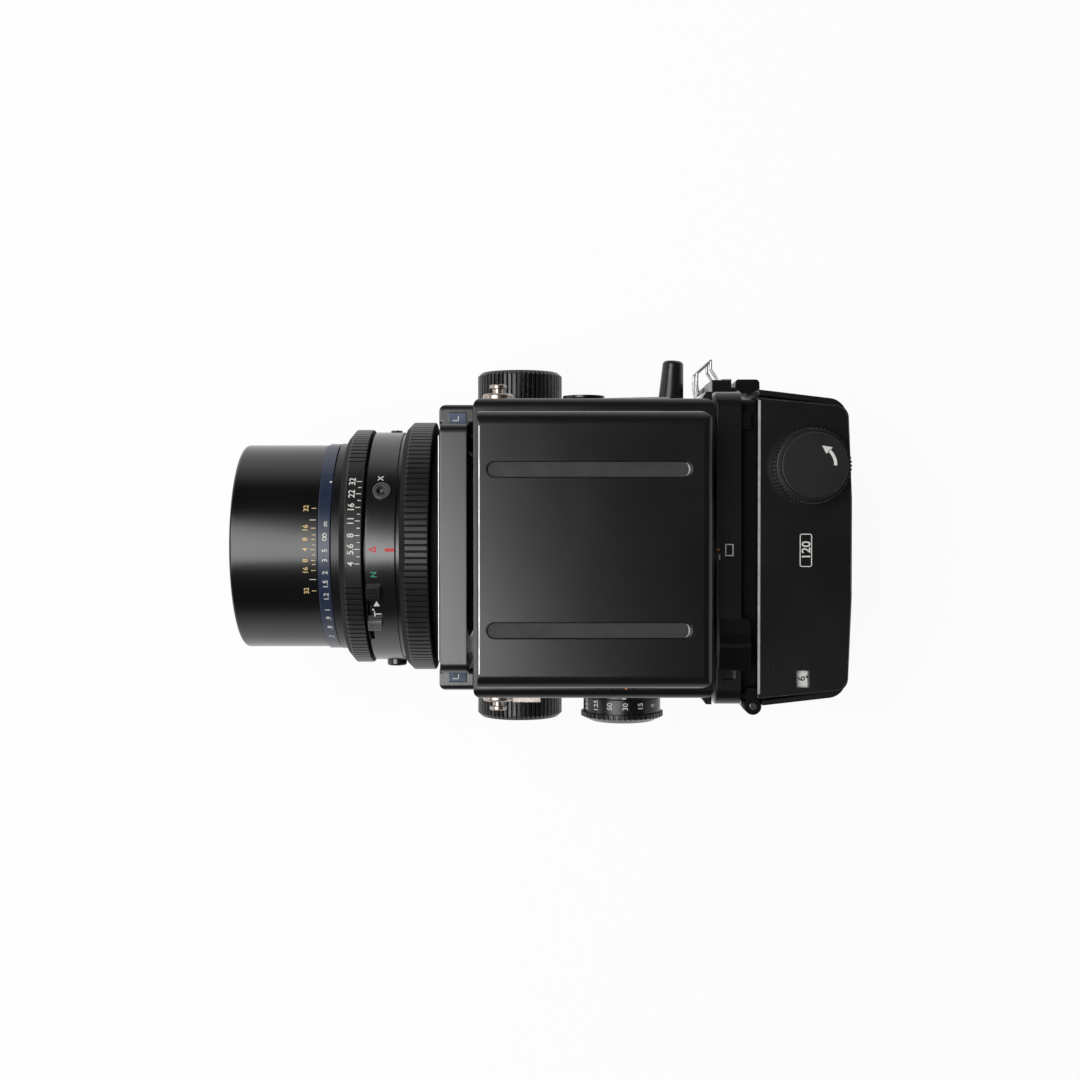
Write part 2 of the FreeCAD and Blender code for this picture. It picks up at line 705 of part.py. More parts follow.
def rack_points():
    pitch = math.pi * gear_module
    line = knob_axis_z + pitch_r()
    tip = line - 0.5
    root = line + 1.0
    slope = math.tan(math.radians(20))
    half_gap = pitch / 4 + gear_backlash / 4
    first = int(math.ceil((knob_axis_y - 7 - knob_axis_y) / pitch))
    last = int(math.floor((rack_rear_y - 2 - knob_axis_y) / pitch))
    pts = [(wing_rear_y, tip)]
    for k in range(first, last + 1):
        y = knob_axis_y + k * pitch
        pts.append((y - half_gap - 0.5 * slope, tip))
        pts.append((y - half_gap + 1.0 * slope, root))
        pts.append((y + half_gap - 1.0 * slope, root))
        pts.append((y + half_gap + 0.5 * slope, tip))
    pts += [(rack_rear_y, tip), (rack_rear_y, tip + rack_height), (wing_rear_y, tip + rack_height)]
    return pts


racks = [prism(rack_points(), "x", rack_inner_x, rack_outer_x), prism(rack_points(), "x", -rack_outer_x, -rack_inner_x)]
save("focus_racks", Part.makeCompound(racks))


def focus_knob(s):
    c = (knob_axis_y, knob_axis_z)
    body = turned([(shaft_r + 0.02, knob_inner_x), (knob_r - 1.3, knob_inner_x), (knob_r - 1.3, knob_outer_x - 1.6),
                   (knob_r - 2.9, knob_outer_x, 0.8), (0, knob_outer_x), (0, shaft_end + 0.1),
                   (shaft_r + 0.02, shaft_end + 0.1)], "x", c)
    ribs = ribbed_disc("x", c, knob_r, knob_r - 1.35, knob_ribs, knob_inner_x + 0.8, knob_outer_x, 0.56)
    cone = turned([(shaft_r + 3, knob_inner_x), (knob_r + 1, knob_inner_x), (knob_r + 1, knob_outer_x - 2.6),
                   (knob_r - 1.7, knob_outer_x - 0.1), (shaft_r + 3, knob_outer_x - 0.1)], "x", c)
    out = fuse([body, ribs.common(cone)])
    return out if s > 0 else mirror_x(out)


save("left_focus_knob", focus_knob(1))
save("right_focus_knob", focus_knob(-1))

# Front standard
ft = standard_top_z
hw = standard_half_w
std_pts = [(-hw, ft, hw - standard_flat_half), (-hw, wing_top_z), (-wing_half_w + 4, wing_top_z),
           (-wing_half_w + 4, wing_low_z), (-standard_low_half, wing_low_z), (-standard_low_half, standard_low_z, 3.0),
           (standard_low_half, standard_low_z, 3.0), (standard_low_half, wing_low_z), (wing_half_w - 4, wing_low_z),
           (wing_half_w - 4, wing_top_z), (hw, wing_top_z), (hw, ft, hw - standard_flat_half)]
standard = prism(std_pts, "y", standard_front_y, standard_rear_y)
wings = []
for s in (-1, 1):
    x0, x1 = sorted((s * hw, s * wing_half_w))
    wing = prism(rect(x0, x1, wing_low_z, wing_top_z, 2.0), "y", wing_front_y, wing_rear_y)
    plan = prism([(hw - 1, wing_front_y), (wing_half_w, wing_front_y, 2.6), (wing_half_w, wing_rear_y),
                  (hw - 1, wing_rear_y)], "z", wing_low_z, wing_top_z)
    wing = wing.common(plan if s > 0 else mirror_x(plan))
    p0, p1 = sorted((s * 46.7, s * 50.7))
    plate = box(p0, p1, wing_front_y + 3.7, wing_rear_y - 2.7, wing_top_z - 0.5, wing_top_z + scale_plate_t)
    wings += [wing, plate]
standard = fuse([standard] + wings)
std_tools = [box(-bellows_room, bellows_room, bellows_front_y, standard_rear_y + 1, axis_z - bellows_room,
                 axis_z + bellows_room), cyl_y(standard_throat_r, standard_front_y - 1, bellows_front_y + 1)]
save("front_standard", cut(standard, std_tools))


# Bellows, folded up between the standard and the ledge in the body
def bellows_section(half, y):
    c = half * 0.16
    pts = [(-half + c, -half), (half - c, -half), (half, -half + c), (half, half - c),
           (half - c, half), (-half + c, half), (-half, half - c), (-half, -half + c)]
    vs = [V(x, y, axis_z + z) for x, z in pts]
    return Part.makePolygon(vs + [vs[0]])


def bellows_skin(offset):
    wires = []
    steps = bellows_pleats * 2
    for k in range(steps + 1):
        y = bellows_front_y + (ledge_y - bellows_front_y) * k / steps
        half = bellows_half - offset - (bellows_depth if k % 2 == 0 else 0.0)
        wires.append(bellows_section(half, y))
    return Part.makeLoft(wires, True, True)


save("bellows", bellows_skin(0.0).cut(bellows_skin(bellows_wall)))

# Lens core with the rear tube and the room for the shutter
core_pts = [(core_bore_r, shutter_room_front_y), (core_bore_r, core_front_y + 13), (element_r + 0.05, core_front_y + 13),
            (element_r + 0.05, core_front_y), (core_r, core_front_y), (core_r, distance_ring_rear_y + small_gap),
            (band_r, distance_ring_rear_y + small_gap), (band_r, band_rear_y - 0.05), (core_r, band_rear_y - 0.05),
            (core_r, core_rear_y), (rear_tube_r, core_rear_y), (rear_tube_r, rear_tube_y, 1.0),
            (rear_element_r + 0.05, rear_tube_y), (rear_element_r + 0.05, rear_tube_y - 7),
            (core_bore_r - 3, rear_tube_y - 7), (core_bore_r - 3, shutter_room_rear_y),
            (blade_out_r + 0.3, shutter_room_rear_y), (blade_out_r + 0.3, shutter_room_front_y)]
save("lens_core", turned(core_pts))
save("front_element", glass(-126.5, -119.5, core_front_y + 10, core_front_y + 11.5, element_r))
save("rear_element", glass(rear_tube_y - 6.2, rear_tube_y - 5.4, rear_tube_y - 2.6, rear_tube_y - 0.6, rear_element_r))


def annular_blades(count, y0, y1, share):
    out = []
    for k in range(count):
        ring = turned([(blade_in_r, y0), (blade_out_r, y0), (blade_out_r, y1), (blade_in_r, y1)])
        a = 360.0 / count * share / 2
        far = 60.0
        wedge = [(0, axis_z), polar(far, -a), polar(far, a)]
        piece = ring.common(prism(wedge, "y", y0 - 1, y1 + 1))
        out.append(turn(piece, 360.0 / count * k, V(0, 1, 0), V(0, 0, axis_z)))
    return Part.makeCompound(out)


save("shutter_blades", annular_blades(5, shutter_room_front_y + 0.1, shutter_room_front_y + 0.7, 0.96))
save("iris_blades", annular_blades(7, shutter_room_rear_y - 0.5, shutter_room_rear_y - 0.1, 0.96))

# Front barrel with the filter thread and stepped inside
seat = core_r + 0.03
front_pts = [(barrel_r, barrel_rear_y - 0.05), (barrel_r, barrel_front_y, 1.2), (filter_thread_r, barrel_front_y),
             (filter_thread_r, barrel_front_y + filter_thread_depth), (36.6, barrel_front_y + filter_thread_depth),
             (35.6, -128.6), (34.8, -128.6), (33.8, -125.4), (33.0, -125.4), (31.6, core_front_y - 0.6),
             (30.2, core_front_y - 0.6), (30.2, core_front_y), (seat, core_front_y), (seat, barrel_rear_y - 0.05)]
save("lens_front_barrel", turned(front_pts))

# Distance ring with a raised pad on the camera's right
run = core_r + running_gap
ring = turned([(run, barrel_rear_y + 0.1), (distance_ring_r, barrel_rear_y + 0.1, 0.3),
               (distance_ring_r, distance_ring_rear_y - 0.1, 0.3), (run, distance_ring_rear_y - 0.1)])
pad_pts = []
for r, angles in ((barrel_r + 0.15, range(-72, -41, 2)), (distance_ring_r + 0.8, range(-43, -72, -2))):
    pad_pts += [polar(r, a) for a in angles]
pad = prism(pad_pts, "y", barrel_rear_y + 0.1, distance_ring_rear_y - 0.1)
save("distance_ring", fuse([ring, pad]))

# Aperture ring, plain where its numbers stand and ribbed elsewhere
a0 = band_rear_y + 0.1
a1 = aperture_ring_rear_y - 0.1
ap_profile = [(run, a0), (aperture_ring_r - 3.2, a0), (aperture_ring_r, a0 + 2.6, 0.6), (aperture_ring_r, a1, 0.4),
              (run, a1)]
ap_body = turned(ap_profile)
ap_tool = prism(ribbed(aperture_ring_r + 0.5, aperture_ring_r - 0.9, 125, (-44, 19)), "y", a0 - 1, a1 + 1)
save("aperture_ring", ap_body.common(ap_tool))

# Rear barrel with its controls and sockets
rb0 = rear_barrel_front_y
rb1 = rear_barrel_rear_y
rb2 = bayonet_front_y - 0.1
groove_r = aperture_ring_r - 4.0
rb_pts = [(core_r + 0.03, rb0 - 0.8), (groove_r, rb0 - 0.8), (groove_r, rb0), (rear_barrel_r, rb0, 0.4),
          (rear_barrel_r, rb1, 0.3), (thin_ring_r, rb1), (thin_ring_r, rb2), (core_r + 0.03, rb2)]
rear_barrel = turned(rb_pts)
socket_l = turned([(0, 44.0), (3.9, 44.0), (3.9, 47.9, 0.8), (1.8, 47.9), (1.8, 45.6), (0, 45.6)], "x", (-77.0, axis_z))
stub_r = mirror_x(turned([(0, 43.0), (2.4, 43.0), (2.4, 46.2, 0.6), (0, 46.2)], "x", (-77.0, axis_z)))
rear_barrel = fuse([rear_barrel, socket_l, stub_r])
up = V(0, 0, 1)
centre = V(0, 0, axis_z)
sync_hole = Part.makeCylinder(sync_r + 0.03, 12, V(0, sync_y, axis_z + 41.0), up)
sync_hole = turn(sync_hole, sync_angle, V(0, 1, 0), centre)


def arc_slot(mid, half, r0, r1, y0, y1):
    n = 8
    outer = [polar(r1, mid - half + 2 * half * k / n) for k in range(n + 1)]
    inner = [polar(r0, mid + half - 2 * half * k / n) for k in range(n + 1)]
    return prism(outer + inner, "y", y0, y1)


preview_travel = 10.0
slot_y0 = lever_y - 2.6
slot_y1 = lever_y - 0.9
time_slot = arc_slot(26.6, 7.8, 42.0, 47.0, slot_y0, slot_y1)
prev_slot = arc_slot(preview_lever_angle + preview_travel / 2, preview_travel / 2 + 2.2, 42.0, 47.0, slot_y0, slot_y1)
save("lens_rear_barrel", cut(rear_barrel, [sync_hole, time_slot, prev_slot]))
sync = Part.makeCylinder(sync_r, 5.4, V(0, sync_y, axis_z + 41.02), up)
sync = cut(sync, [Part.makeCylinder(2.0, 5, V(0, sync_y, axis_z + 43.0), up)])
sync_tip = Part.makeCylinder(0.7, 3.0, V(0, sync_y, axis_z + 42.9), up)
save("x_sync_socket", turn(fuse([sync, sync_tip]), sync_angle, V(0, 1, 0), centre))


def slider(mid, half, top_r):
    foot = arc_slot(mid, 1.9, 42.1, rear_barrel_r + 0.3, slot_y0 + 0.1, slot_y1 - 0.1)
    pad = arc_slot(mid, half, rear_barrel_r + 0.12, top_r - 0.9, lever_y - 2.6, lever_y + 2.6)
    ridges = []
    n = 4
    for k in range(n):
        a = mid - half + half * 2 * (k + 0.5) / n
        ridges.append(arc_slot(a, half / n * 0.55, top_r - 1.2, top_r, lever_y - 2.6, lever_y + 2.6))
    return fuse([foot, pad] + ridges)


save("time_lever", slider(time_lever_angle, 3.1, 48.2))
save("preview_lever", slider(preview_lever_angle, 2.4, 48.0))

# Bayonet ring of the lens
b0 = bayonet_front_y
b1 = bayonet_rear_y
bay = turned([(run, b0), (bayonet_r - 2.6, b0), (bayonet_r, b0 + 2.5, 0.5), (bayonet_r, b1 - 0.5, 0.4), (run, b1 - 0.1)])
bay_tool = prism(ribbed(bayonet_r + 0.5, bayonet_r - 0.9, bayonet_ribs), "y", b0 - 1, b1 + 1)
save("bayonet_ring", bay.common(bay_tool))
flange = turned([(rear_tube_r + 0.3, b1 + 0.2), (flange_front_r, b1 + 0.2, 0.3), (flange_rear_r, standard_front_y),
                 (rear_tube_r + 0.3, standard_front_y)])
flange_top = box(-standard_half_w + part_gap, standard_half_w - part_gap, b1 - 1, standard_front_y + 1, 10,
                 standard_top_z - 1.4)
save("lens_flange", flange.common(flange_top))

# Finder base
fw = finder_half_w
floor_z = deck_z
open_half = screen_half_w - screen_lip


def finder_plan(inset, front_r):
    w = fw - inset
    r = max(0.5, finder_corner_r - inset)
    return [(-w, finder_front_y + inset, front_r), (w, finder_front_y + inset, front_r),
            (w, finder_rear_y - inset, r), (-w, finder_rear_y - inset, r)]


base_body = prism(finder_plan(0.0, 0.6), "z", floor_z, finder_base_top_z)
hollow = prism(finder_plan(finder_wall, 0.5), "z", floor_z + finder_floor_t, finder_base_top_z + 1)
light = box(-open_half, open_half, screen_front_y + screen_lip, screen_rear_y - screen_lip, floor_z - 1, floor_z + 5)
front_low = box(-60, 60, finder_front_y - 1, lid_hinge_y + 2.4, lid_hinge_z - 2.0, finder_base_top_z + 1)
base_body = cut(base_body, [hollow, light, front_low])
posts = []
for s in (-1, 1):
    # Ears that carry the rear leaf and the side leaves
    x0, x1 = sorted((s * (rear_leaf_half_w + 0.3), s * (rear_leaf_half_w + 1.9)))
    ear = prism([(rear_leaf_y - 1.9, floor_z + 1), (rear_leaf_y + 2.2, floor_z + 1), (rear_leaf_y + 2.2, rear_leaf_z),
                 (rear_leaf_y + 1.9, rear_leaf_z + 1.9, 1.2), (rear_leaf_y - 1.9, rear_leaf_z + 1.9, 1.2)], "x", x0, x1)
    ear = cut(ear, [cyl_x(leaf_pin_r + running_gap, x0 - 1, x1 + 1, rear_leaf_y, rear_leaf_z)])
    posts.append(ear)
    for y0 in (finder_front_y + finder_wall - 0.2, rear_leaf_y - 5.6):
        blk = box(side_leaf_x - 1.9, side_leaf_x + 1.85, y0, y0 + 2.2, floor_z + 1, side_leaf_z + 1.9)
        hole = cyl_y(leaf_pin_r + running_gap, y0 - 1, y0 + 4, side_leaf_x, side_leaf_z)
        blk = cut(blk, [hole])
        posts.append(blk if s > 0 else mirror_x(blk))
    # Hinge ears for the lid
    x0, x1 = sorted((s * 36.0, s * 39.0))
    ear2 = prism([(finder_front_y, floor_z + 1), (finder_front_y + finder_wall, floor_z + 1),
                  (lid_hinge_y + 1.4, lid_hinge_z, 0.9), (lid_hinge_y, lid_hinge_z + 1.4, 0.9),
                  (finder_front_y, lid_hinge_z)], "x", x0, x1)
    posts.append(cut(ear2, [cyl_x(0.8 + running_gap, x0 - 1, x1 + 1, lid_hinge_y, lid_hinge_z)]))
save("finder_base", fuse([base_body] + posts))

# Finder lid, a shallow cover that stands up in front when it is open
lid_side = [(-fw, lid_low_z), (fw, lid_low_z), (fw, lid_top_z, lid_edge_r), (-fw, lid_top_z, lid_edge_r)]
lid_len = [(finder_front_y, lid_low_z), (finder_rear_y, lid_low_z), (finder_rear_y, lid_top_z, 3.6),
           (finder_front_y, lid_top_z, 0.5)]
lid = prism(lid_side, "y", finder_front_y, finder_rear_y)
lid = lid.common(prism(lid_len, "x", -fw, fw))
lid = lid.common(prism(finder_plan(0.0, 0.6), "z", lid_low_z, lid_top_z))
iw = fw - finder_wall
lid_in = [(-iw, lid_low_z - 1), (iw, lid_low_z - 1), (iw, lid_top_z - lid_top_t, lid_edge_r - finder_wall),
          (-iw, lid_top_z - lid_top_t, lid_edge_r - finder_wall)]
room = prism(lid_in, "y", finder_front_y + finder_wall, finder_rear_y - finder_wall)
room = room.common(prism(finder_plan(finder_wall, 0.5), "z", lid_low_z - 1, lid_top_z))
lid_tools = [room]
for s in (-1, 1):
    c = s * groove_x
    lid_tools.append(prism(rect(c - groove_half_w, c + groove_half_w, groove_front_y, groove_rear_y, groove_half_w - 0.02),
                           "z", lid_top_z - groove_depth, lid_top_z + 1))
    x0, x1 = sorted((s * 35.7, s * 39.3))
    lid_tools.append(box(x0, x1, finder_front_y - 1, lid_hinge_y + 2.0, lid_low_z - 2, lid_hinge_z + 1.9))
lid_tools.append(box(-60, 60, finder_front_y - 1, lid_hinge_y + 1.7, lid_low_z - 1, lid_low_z + 1.2)
                 .cut(box(-33.5, 33.5, -60, 60, 0, 200)))
lid = cut(lid, lid_tools)
lid_barrel = cyl_x(1.4, -35.4, 35.4, lid_hinge_y, lid_hinge_z)
lid_pin = cyl_x(0.8, -38.8, 38.8, lid_hinge_y, lid_hinge_z)
lid_web = box(-35.4, 35.4, lid_hinge_y - 1.1, lid_hinge_y + 0.7, lid_hinge_z, lid_hinge_z + 2.5)
mag_hinge_z = lid_top_z - lid_top_t - 1.7
mag_ears = []
for s in (-1, 1):
    x0, x1 = sorted((s * (magnifier_half_w + 0.3), s * (magnifier_half_w + 1.8)))
    e = box(x0, x1, magnifier_hinge_y - 1.5, magnifier_hinge_y + 1.5, mag_hinge_z - 1.5, lid_top_z - lid_top_t + 0.5)
    mag_ears.append(cut(e, [cyl_x(0.7 + running_gap, x0 - 1, x1 + 1, magnifier_hinge_y, mag_hinge_z)]))
save("finder_lid", fuse([lid, lid_barrel, lid_pin, lid_web] + mag_ears))

# Magnifier, folded up flat under the lid
mag_end = magnifier_hinge_y + magnifier_length
mag_low = mag_hinge_z - magnifier_t / 2
mag_high = mag_hinge_z + magnifier_t / 2 - 0.2
mag_cy = magnifier_hinge_y + magnifier_length / 2 + 1
mag = prism([(-magnifier_half_w, magnifier_hinge_y + 1.2), (magnifier_half_w, magnifier_hinge_y + 1.2),
             (magnifier_half_w, mag_end, 5.0), (-magnifier_half_w, mag_end, 5.0)], "z", mag_low, mag_high)
mag_arm = box(-magnifier_half_w, magnifier_half_w, magnifier_hinge_y, magnifier_hinge_y + 1.3, mag_hinge_z - 1.2,
              mag_hinge_z + 1.2)
mag_tube = cyl_x(1.2, -magnifier_half_w, magnifier_half_w, magnifier_hinge_y, mag_hinge_z)
mag_pin = cyl_x(0.7, -magnifier_half_w - 1.7, magnifier_half_w + 1.7, magnifier_hinge_y, mag_hinge_z)
mag_hole = cyl_z(magnifier_lens_r + 0.03, mag_low - 1, mag_high + 1, 0, mag_cy)
save("magnifier_frame", cut(fuse([mag, mag_arm, mag_tube, mag_pin]), [mag_hole]))
save("magnifier_lens", cyl_z(magnifier_lens_r, mag_low + 0.3, mag_high - 0.3, 0, mag_cy))


# Side leaves folded in flat, the rear leaf over them
def side_leaf(s):
    y0 = finder_front_y + finder_wall + 2.3
    y1 = rear_leaf_y - 5.9
    x_tip = side_leaf_x - side_leaf_height
    pts = [(side_leaf_x, y0), (side_leaf_x, y1), (side_leaf_x - 13, y1), (x_tip, y1 - side_leaf_rear_slant + 5, 3.0),
           (x_tip, y0 + side_leaf_front_slant, 3.0), (side_leaf_x - 8, y0)]
    leaf = prism(pts, "z", side_leaf_z - leaf_t / 2, side_leaf_z + leaf_t / 2)
    barrel = cyl_y(leaf_pin_r + 0.4, y0, y1, side_leaf_x, side_leaf_z)
    pin2 = cyl_y(leaf_pin_r, y0 - 2.2, y1 + 2.2, side_leaf_x, side_leaf_z)
    out = fuse([leaf, barrel, pin2])
    return out if s > 0 else mirror_x(out)


save("finder_left_leaf", side_leaf(1))
save("finder_right_leaf", side_leaf(-1))
rl = prism([(-rear_leaf_half_w, rear_leaf_y), (rear_leaf_half_w, rear_leaf_y),
            (rear_leaf_half_w - 3, rear_leaf_y - rear_leaf_height, 3.0),
            (-rear_leaf_half_w + 3, rear_leaf_y - rear_leaf_height, 3.0)], "z", rear_leaf_z - leaf_t / 2,
           rear_leaf_z + leaf_t / 2)
rl_barrel = cyl_x(leaf_pin_r + 0.4, -rear_leaf_half_w, rear_leaf_half_w, rear_leaf_y, rear_leaf_z)
rl_pin = cyl_x(leaf_pin_r, -rear_leaf_half_w - 1.8, rear_leaf_half_w + 1.8, rear_leaf_y, rear_leaf_z)
save("finder_rear_leaf", fuse([rl, rl_barrel, rl_pin]))

# Revolving adapter
ah = adapter_half_h
aw = adapter_half_w
adapter = prism(rect(-aw, aw, axis_z - ah, axis_z + ah, adapter_corner_r), "y", adapter_front_y, adapter_rear_y)
adapter_boss = cyl_y(boss_r, boss_front_y, adapter_front_y + 1)
gate = prism(rect(-gate_half_w, gate_half_w, axis_z - gate_half_h, axis_z + gate_half_h, 1.0), "y",
             boss_front_y - 1, frame_rear_y + 5)
serrated = []
block_side_x = -aw - 3.6
for k in range(4):
    y = block_rear_y - 0.5 - k * 1.0
    serrated.append(box(block_x - 0.4, block_side_x, y, y + 0.5, block_low_z, block_top_z))
block = fuse([box(block_x, -aw + 2, block_front_y, adapter_rear_y - 0.05, block_low_z, block_top_z),
              box(block_x, block_side_x, block_front_y, block_rear_y, block_low_z, block_top_z)])
lock_tracks = []
for s in (-1, 1):
    z0, z1 = sorted((axis_z + s * (ah - 1.4), axis_z + s * (ah + 1)))
    lock_tracks.append(box(slide_lock_in_x + 2, slide_lock_out_x - 2 + slide_lock_travel + 0.4, 47.9, 52.1, z0, z1))
adapter = cut(fuse([adapter, adapter_boss, block] + serrated), [gate] + lock_tracks)
save("revolving_adapter", adapter)


# Slide locks on the top and the bottom of the adapter
def slide_lock(s):
    z0 = axis_z + ah + 0.05
    key = box(slide_lock_in_x + 2.2, slide_lock_out_x - 2.2, 48.0, 52.0, axis_z + ah - 1.3, z0 + 0.5)
    x0, x1 = slide_lock_in_x, slide_lock_out_x
    ridge = x0 + 9.6
    grip = prism([(x0, z0), (x1, z0), (x1, z0 + 0.9, 0.6), (ridge + 0.8, z0 + 3.2, 0.6), (ridge - 0.8, z0 + 3.2, 0.6),
                  (x0 + 5.4, z0 + 1.5, 1.5), (x0, z0 + 0.9)], "y", 46.2, slide_lock_rear_y)
    plan = prism(rect(x0, x1, 46.2, slide_lock_rear_y, 1.6), "z", z0 - 1, z0 + 5)
    out = fuse([key, grip.common(plan)])
    return out if s > 0 else out.mirror(V(0, 0, axis_z), V(0, 0, 1))


save("slide_lock_upper", slide_lock(1))
save("slide_lock_lower", slide_lock(-1))

# Magazine frame with the dark slide's slot and the hinge ears
mh = magazine_half_h
fr = magazine_frame_half_h
m_frame = prism(rect(-plate_front_half, plate_front_half, axis_z - fr, axis_z + fr, 4.0), "y", adapter_rear_y,
                frame_rear_y)
claws = [box(-50.0, -43.8, adapter_rear_y, 58.4, axis_z + fr - 1, axis_z + fr + 2.6),
         box(-50.0, -43.8, adapter_rear_y, 58.4, axis_z - fr - 2.6, axis_z - fr + 1)]
slot = box(-80, slide_plate_in_x + 0.2, slide_plate_y - small_gap, slide_plate_y + slide_plate_t + small_gap,
           axis_z - slide_plate_half_h - small_gap, axis_z + slide_plate_half_h + small_gap)
ears = []
ear_spans = [(axis_z + mh - 10, axis_z + mh), (axis_z - mh, axis_z - mh + 10)]
for z0, z1 in ear_spans:
    e = cyl_z(door_ear_r, z0, z1, door_hinge_x, door_hinge_y)
    w = box(plate_front_half - 4, door_hinge_x, door_hinge_y - 2.2, door_hinge_y + 1.2, z0, z1)
    ears += [e, w]
bore = cyl_z(door_pin_r + running_gap, axis_z - mh - 1, axis_z + mh + 1, door_hinge_x, door_hinge_y)
hinge_room = cyl_z(door_ear_r + part_gap, axis_z - mh + 9.9, axis_z + mh - 9.9, door_hinge_x, door_hinge_y)
m_frame = cut(fuse([m_frame] + ears + claws), [gate, slot, bore, hinge_room])
save("magazine_frame", m_frame)
pin_len = mh + 0.6
save("door_hinge_pin", cyl_z(door_pin_r, axis_z - pin_len, axis_z + pin_len, door_hinge_x, door_hinge_y))

# Top and bottom plates of the magazine with the spool room between them
plates = []
y0 = frame_rear_y
plate_pts = [(-plate_front_half, y0), (plate_front_half, y0), (plate_front_half, y0 + 1),
             (plate_rear_half, plate_rear_y, plate_corner_r), (bow_half, plate_rear_y + plate_bow),
             (-bow_half, plate_rear_y + plate_bow), (-plate_rear_half, plate_rear_y, plate_corner_r),
             (-plate_front_half, y0 + 1)]
top = prism(plate_pts, "z", axis_z + mh - plate_t, axis_z + mh)
bottom = prism(plate_pts, "z", axis_z - mh, axis_z - mh + plate_t)
window = box(45.0, 51.3, 74.7, 79.2, axis_z + mh - plate_t - 1, axis_z + mh + 1)
knob_hole2 = cyl_z(4.0 + running_gap, axis_z + mh - plate_t - 1, axis_z + mh + 1, knob2_x, knob2_y)
shelf_z = axis_z + spool_half_len + 1.2
shelf_pts = [(-plate_front_half + 3, y0), (plate_front_half - 3, y0), (shelf_half, shelf_rear_y, 8.0),
             (-shelf_half, shelf_rear_y, 11.0)]
shelf = prism(shelf_pts, "z", shelf_z, shelf_z + 1.6)
shelf2 = prism(shelf_pts, "z", axis_z - spool_half_len - 2.8, axis_z - spool_half_len - 1.2)
for s in (-1, 1):
    shelf = cut(shelf, [cyl_z(2.5 + running_gap, shelf_z - 1, shelf_z + 3, s * spool_x, knob2_y)])
    shelf2 = cut(shelf2, [cyl_z(2.5 + running_gap, axis_z - 60, axis_z - 20, s * spool_x, knob2_y)])
counter_seat = cyl_z(1.5 + running_gap, shelf_z - 1, shelf_z + 3, counter_x, counter_y - 0.0)
shelf = cut(shelf, [counter_seat])
rib_a = box(-plate_front_half + 5, plate_front_half - 5, y0, y0 + 2.0, shelf_z + 1.5, axis_z + mh - plate_t + 0.1)
rib_b = box(-plate_front_half + 5, plate_front_half - 5, y0, y0 + 2.0, axis_z - mh + plate_t - 0.1,
            axis_z - spool_half_len - 2.7)
ear_room = cyl_z(door_ear_r + part_gap, axis_z - mh - 1, axis_z + mh + 1, door_hinge_x, door_hinge_y)
upper = cut(fuse([top, shelf, rib_a]), [window, knob_hole2, ear_room])
lower = cut(fuse([bottom, shelf2, rib_b]), [ear_room])
save("magazine_plates", Part.makeCompound([upper, lower]))

# Pressure plate behind the film
pp = prism(rect(-38, 38, axis_z - 31, axis_z + 31, 3.0), "y", frame_rear_y + 0.4, frame_rear_y + 1.8)
pp_legs = [box(sx - 2, sx + 2, frame_rear_y + 1.7, frame_rear_y + 3.2, shelf_z - 8.0 if sz > 0 else axis_z - 34.2,
               shelf_z if sz > 0 else axis_z - 26) for sx in (-15, 15) for sz in (-1, 1)]
save("pressure_plate", fuse([pp] + pp_legs))

# Film rollers beside the gate
rollers = []
for s in (-1, 1):
    rollers.append(cyl_z(roller_r, axis_z - spool_half_len - 1.15, shelf_z - 0.05, s * roller_x, roller_y))
save("film_rollers", Part.makeCompound(rollers))


# Spools
def spool(x, top_reach):
    z0 = axis_z - spool_half_len
    z1 = axis_z + spool_half_len
    core = cyl_z(spool_core_r, z0, z1, x, knob2_y)
    f1 = cyl_z(spool_flange_r, z0, z0 + 1.2, x, knob2_y)
    f2 = cyl_z(spool_flange_r, z1 - 1.2, z1, x, knob2_y)
    p = cyl_z(2.5, axis_z - spool_half_len - 2.7, z1 + top_reach, x, knob2_y)
    return fuse([core, f1, f2, p])


save("supply_spool", spool(spool_x, 2.6))
save("takeup_spool", spool(-spool_x, axis_z + mh - 1.0 - axis_z - spool_half_len))

# Wind knob with a serrated rim
kz = knob2_top_z
plate_top = axis_z + mh
knob_body = turned([(0, kz - 5), (2.52, kz - 5), (2.52, plate_top - 0.9), (4.0, plate_top - 0.9),
                    (4.0, plate_top + part_gap), (knob2_rim_r - 0.7, plate_top + part_gap),
                    (knob2_rim_r - 0.7, kz - 3.2), (knob2_rim_r - 1.1, kz - 3.0), (knob2_cap_r + 0.2, kz - 5.2),
                    (knob2_cap_r, kz - 5.2), (knob2_cap_r, kz, 0.4), (0, kz)],
                   "z", (knob2_x, knob2_y))
rim = ribbed_disc("z", (knob2_x, knob2_y), knob2_rim_r, knob2_rim_r - 0.65, 60, plate_top + 1.2, kz - 3.3)
save("wind_knob", fuse([knob_body, rim]))

# Frame counter under its window
c_disc = cyl_z(counter_r, axis_z + mh - plate_t - 1.4, axis_z + mh - plate_t - 0.3, counter_x, counter_y)
c_pin = cyl_z(1.5, shelf_z + 0.1, axis_z + mh - plate_t - 1.3, counter_x, counter_y)
save("counter_dial", fuse([c_disc, c_pin]))

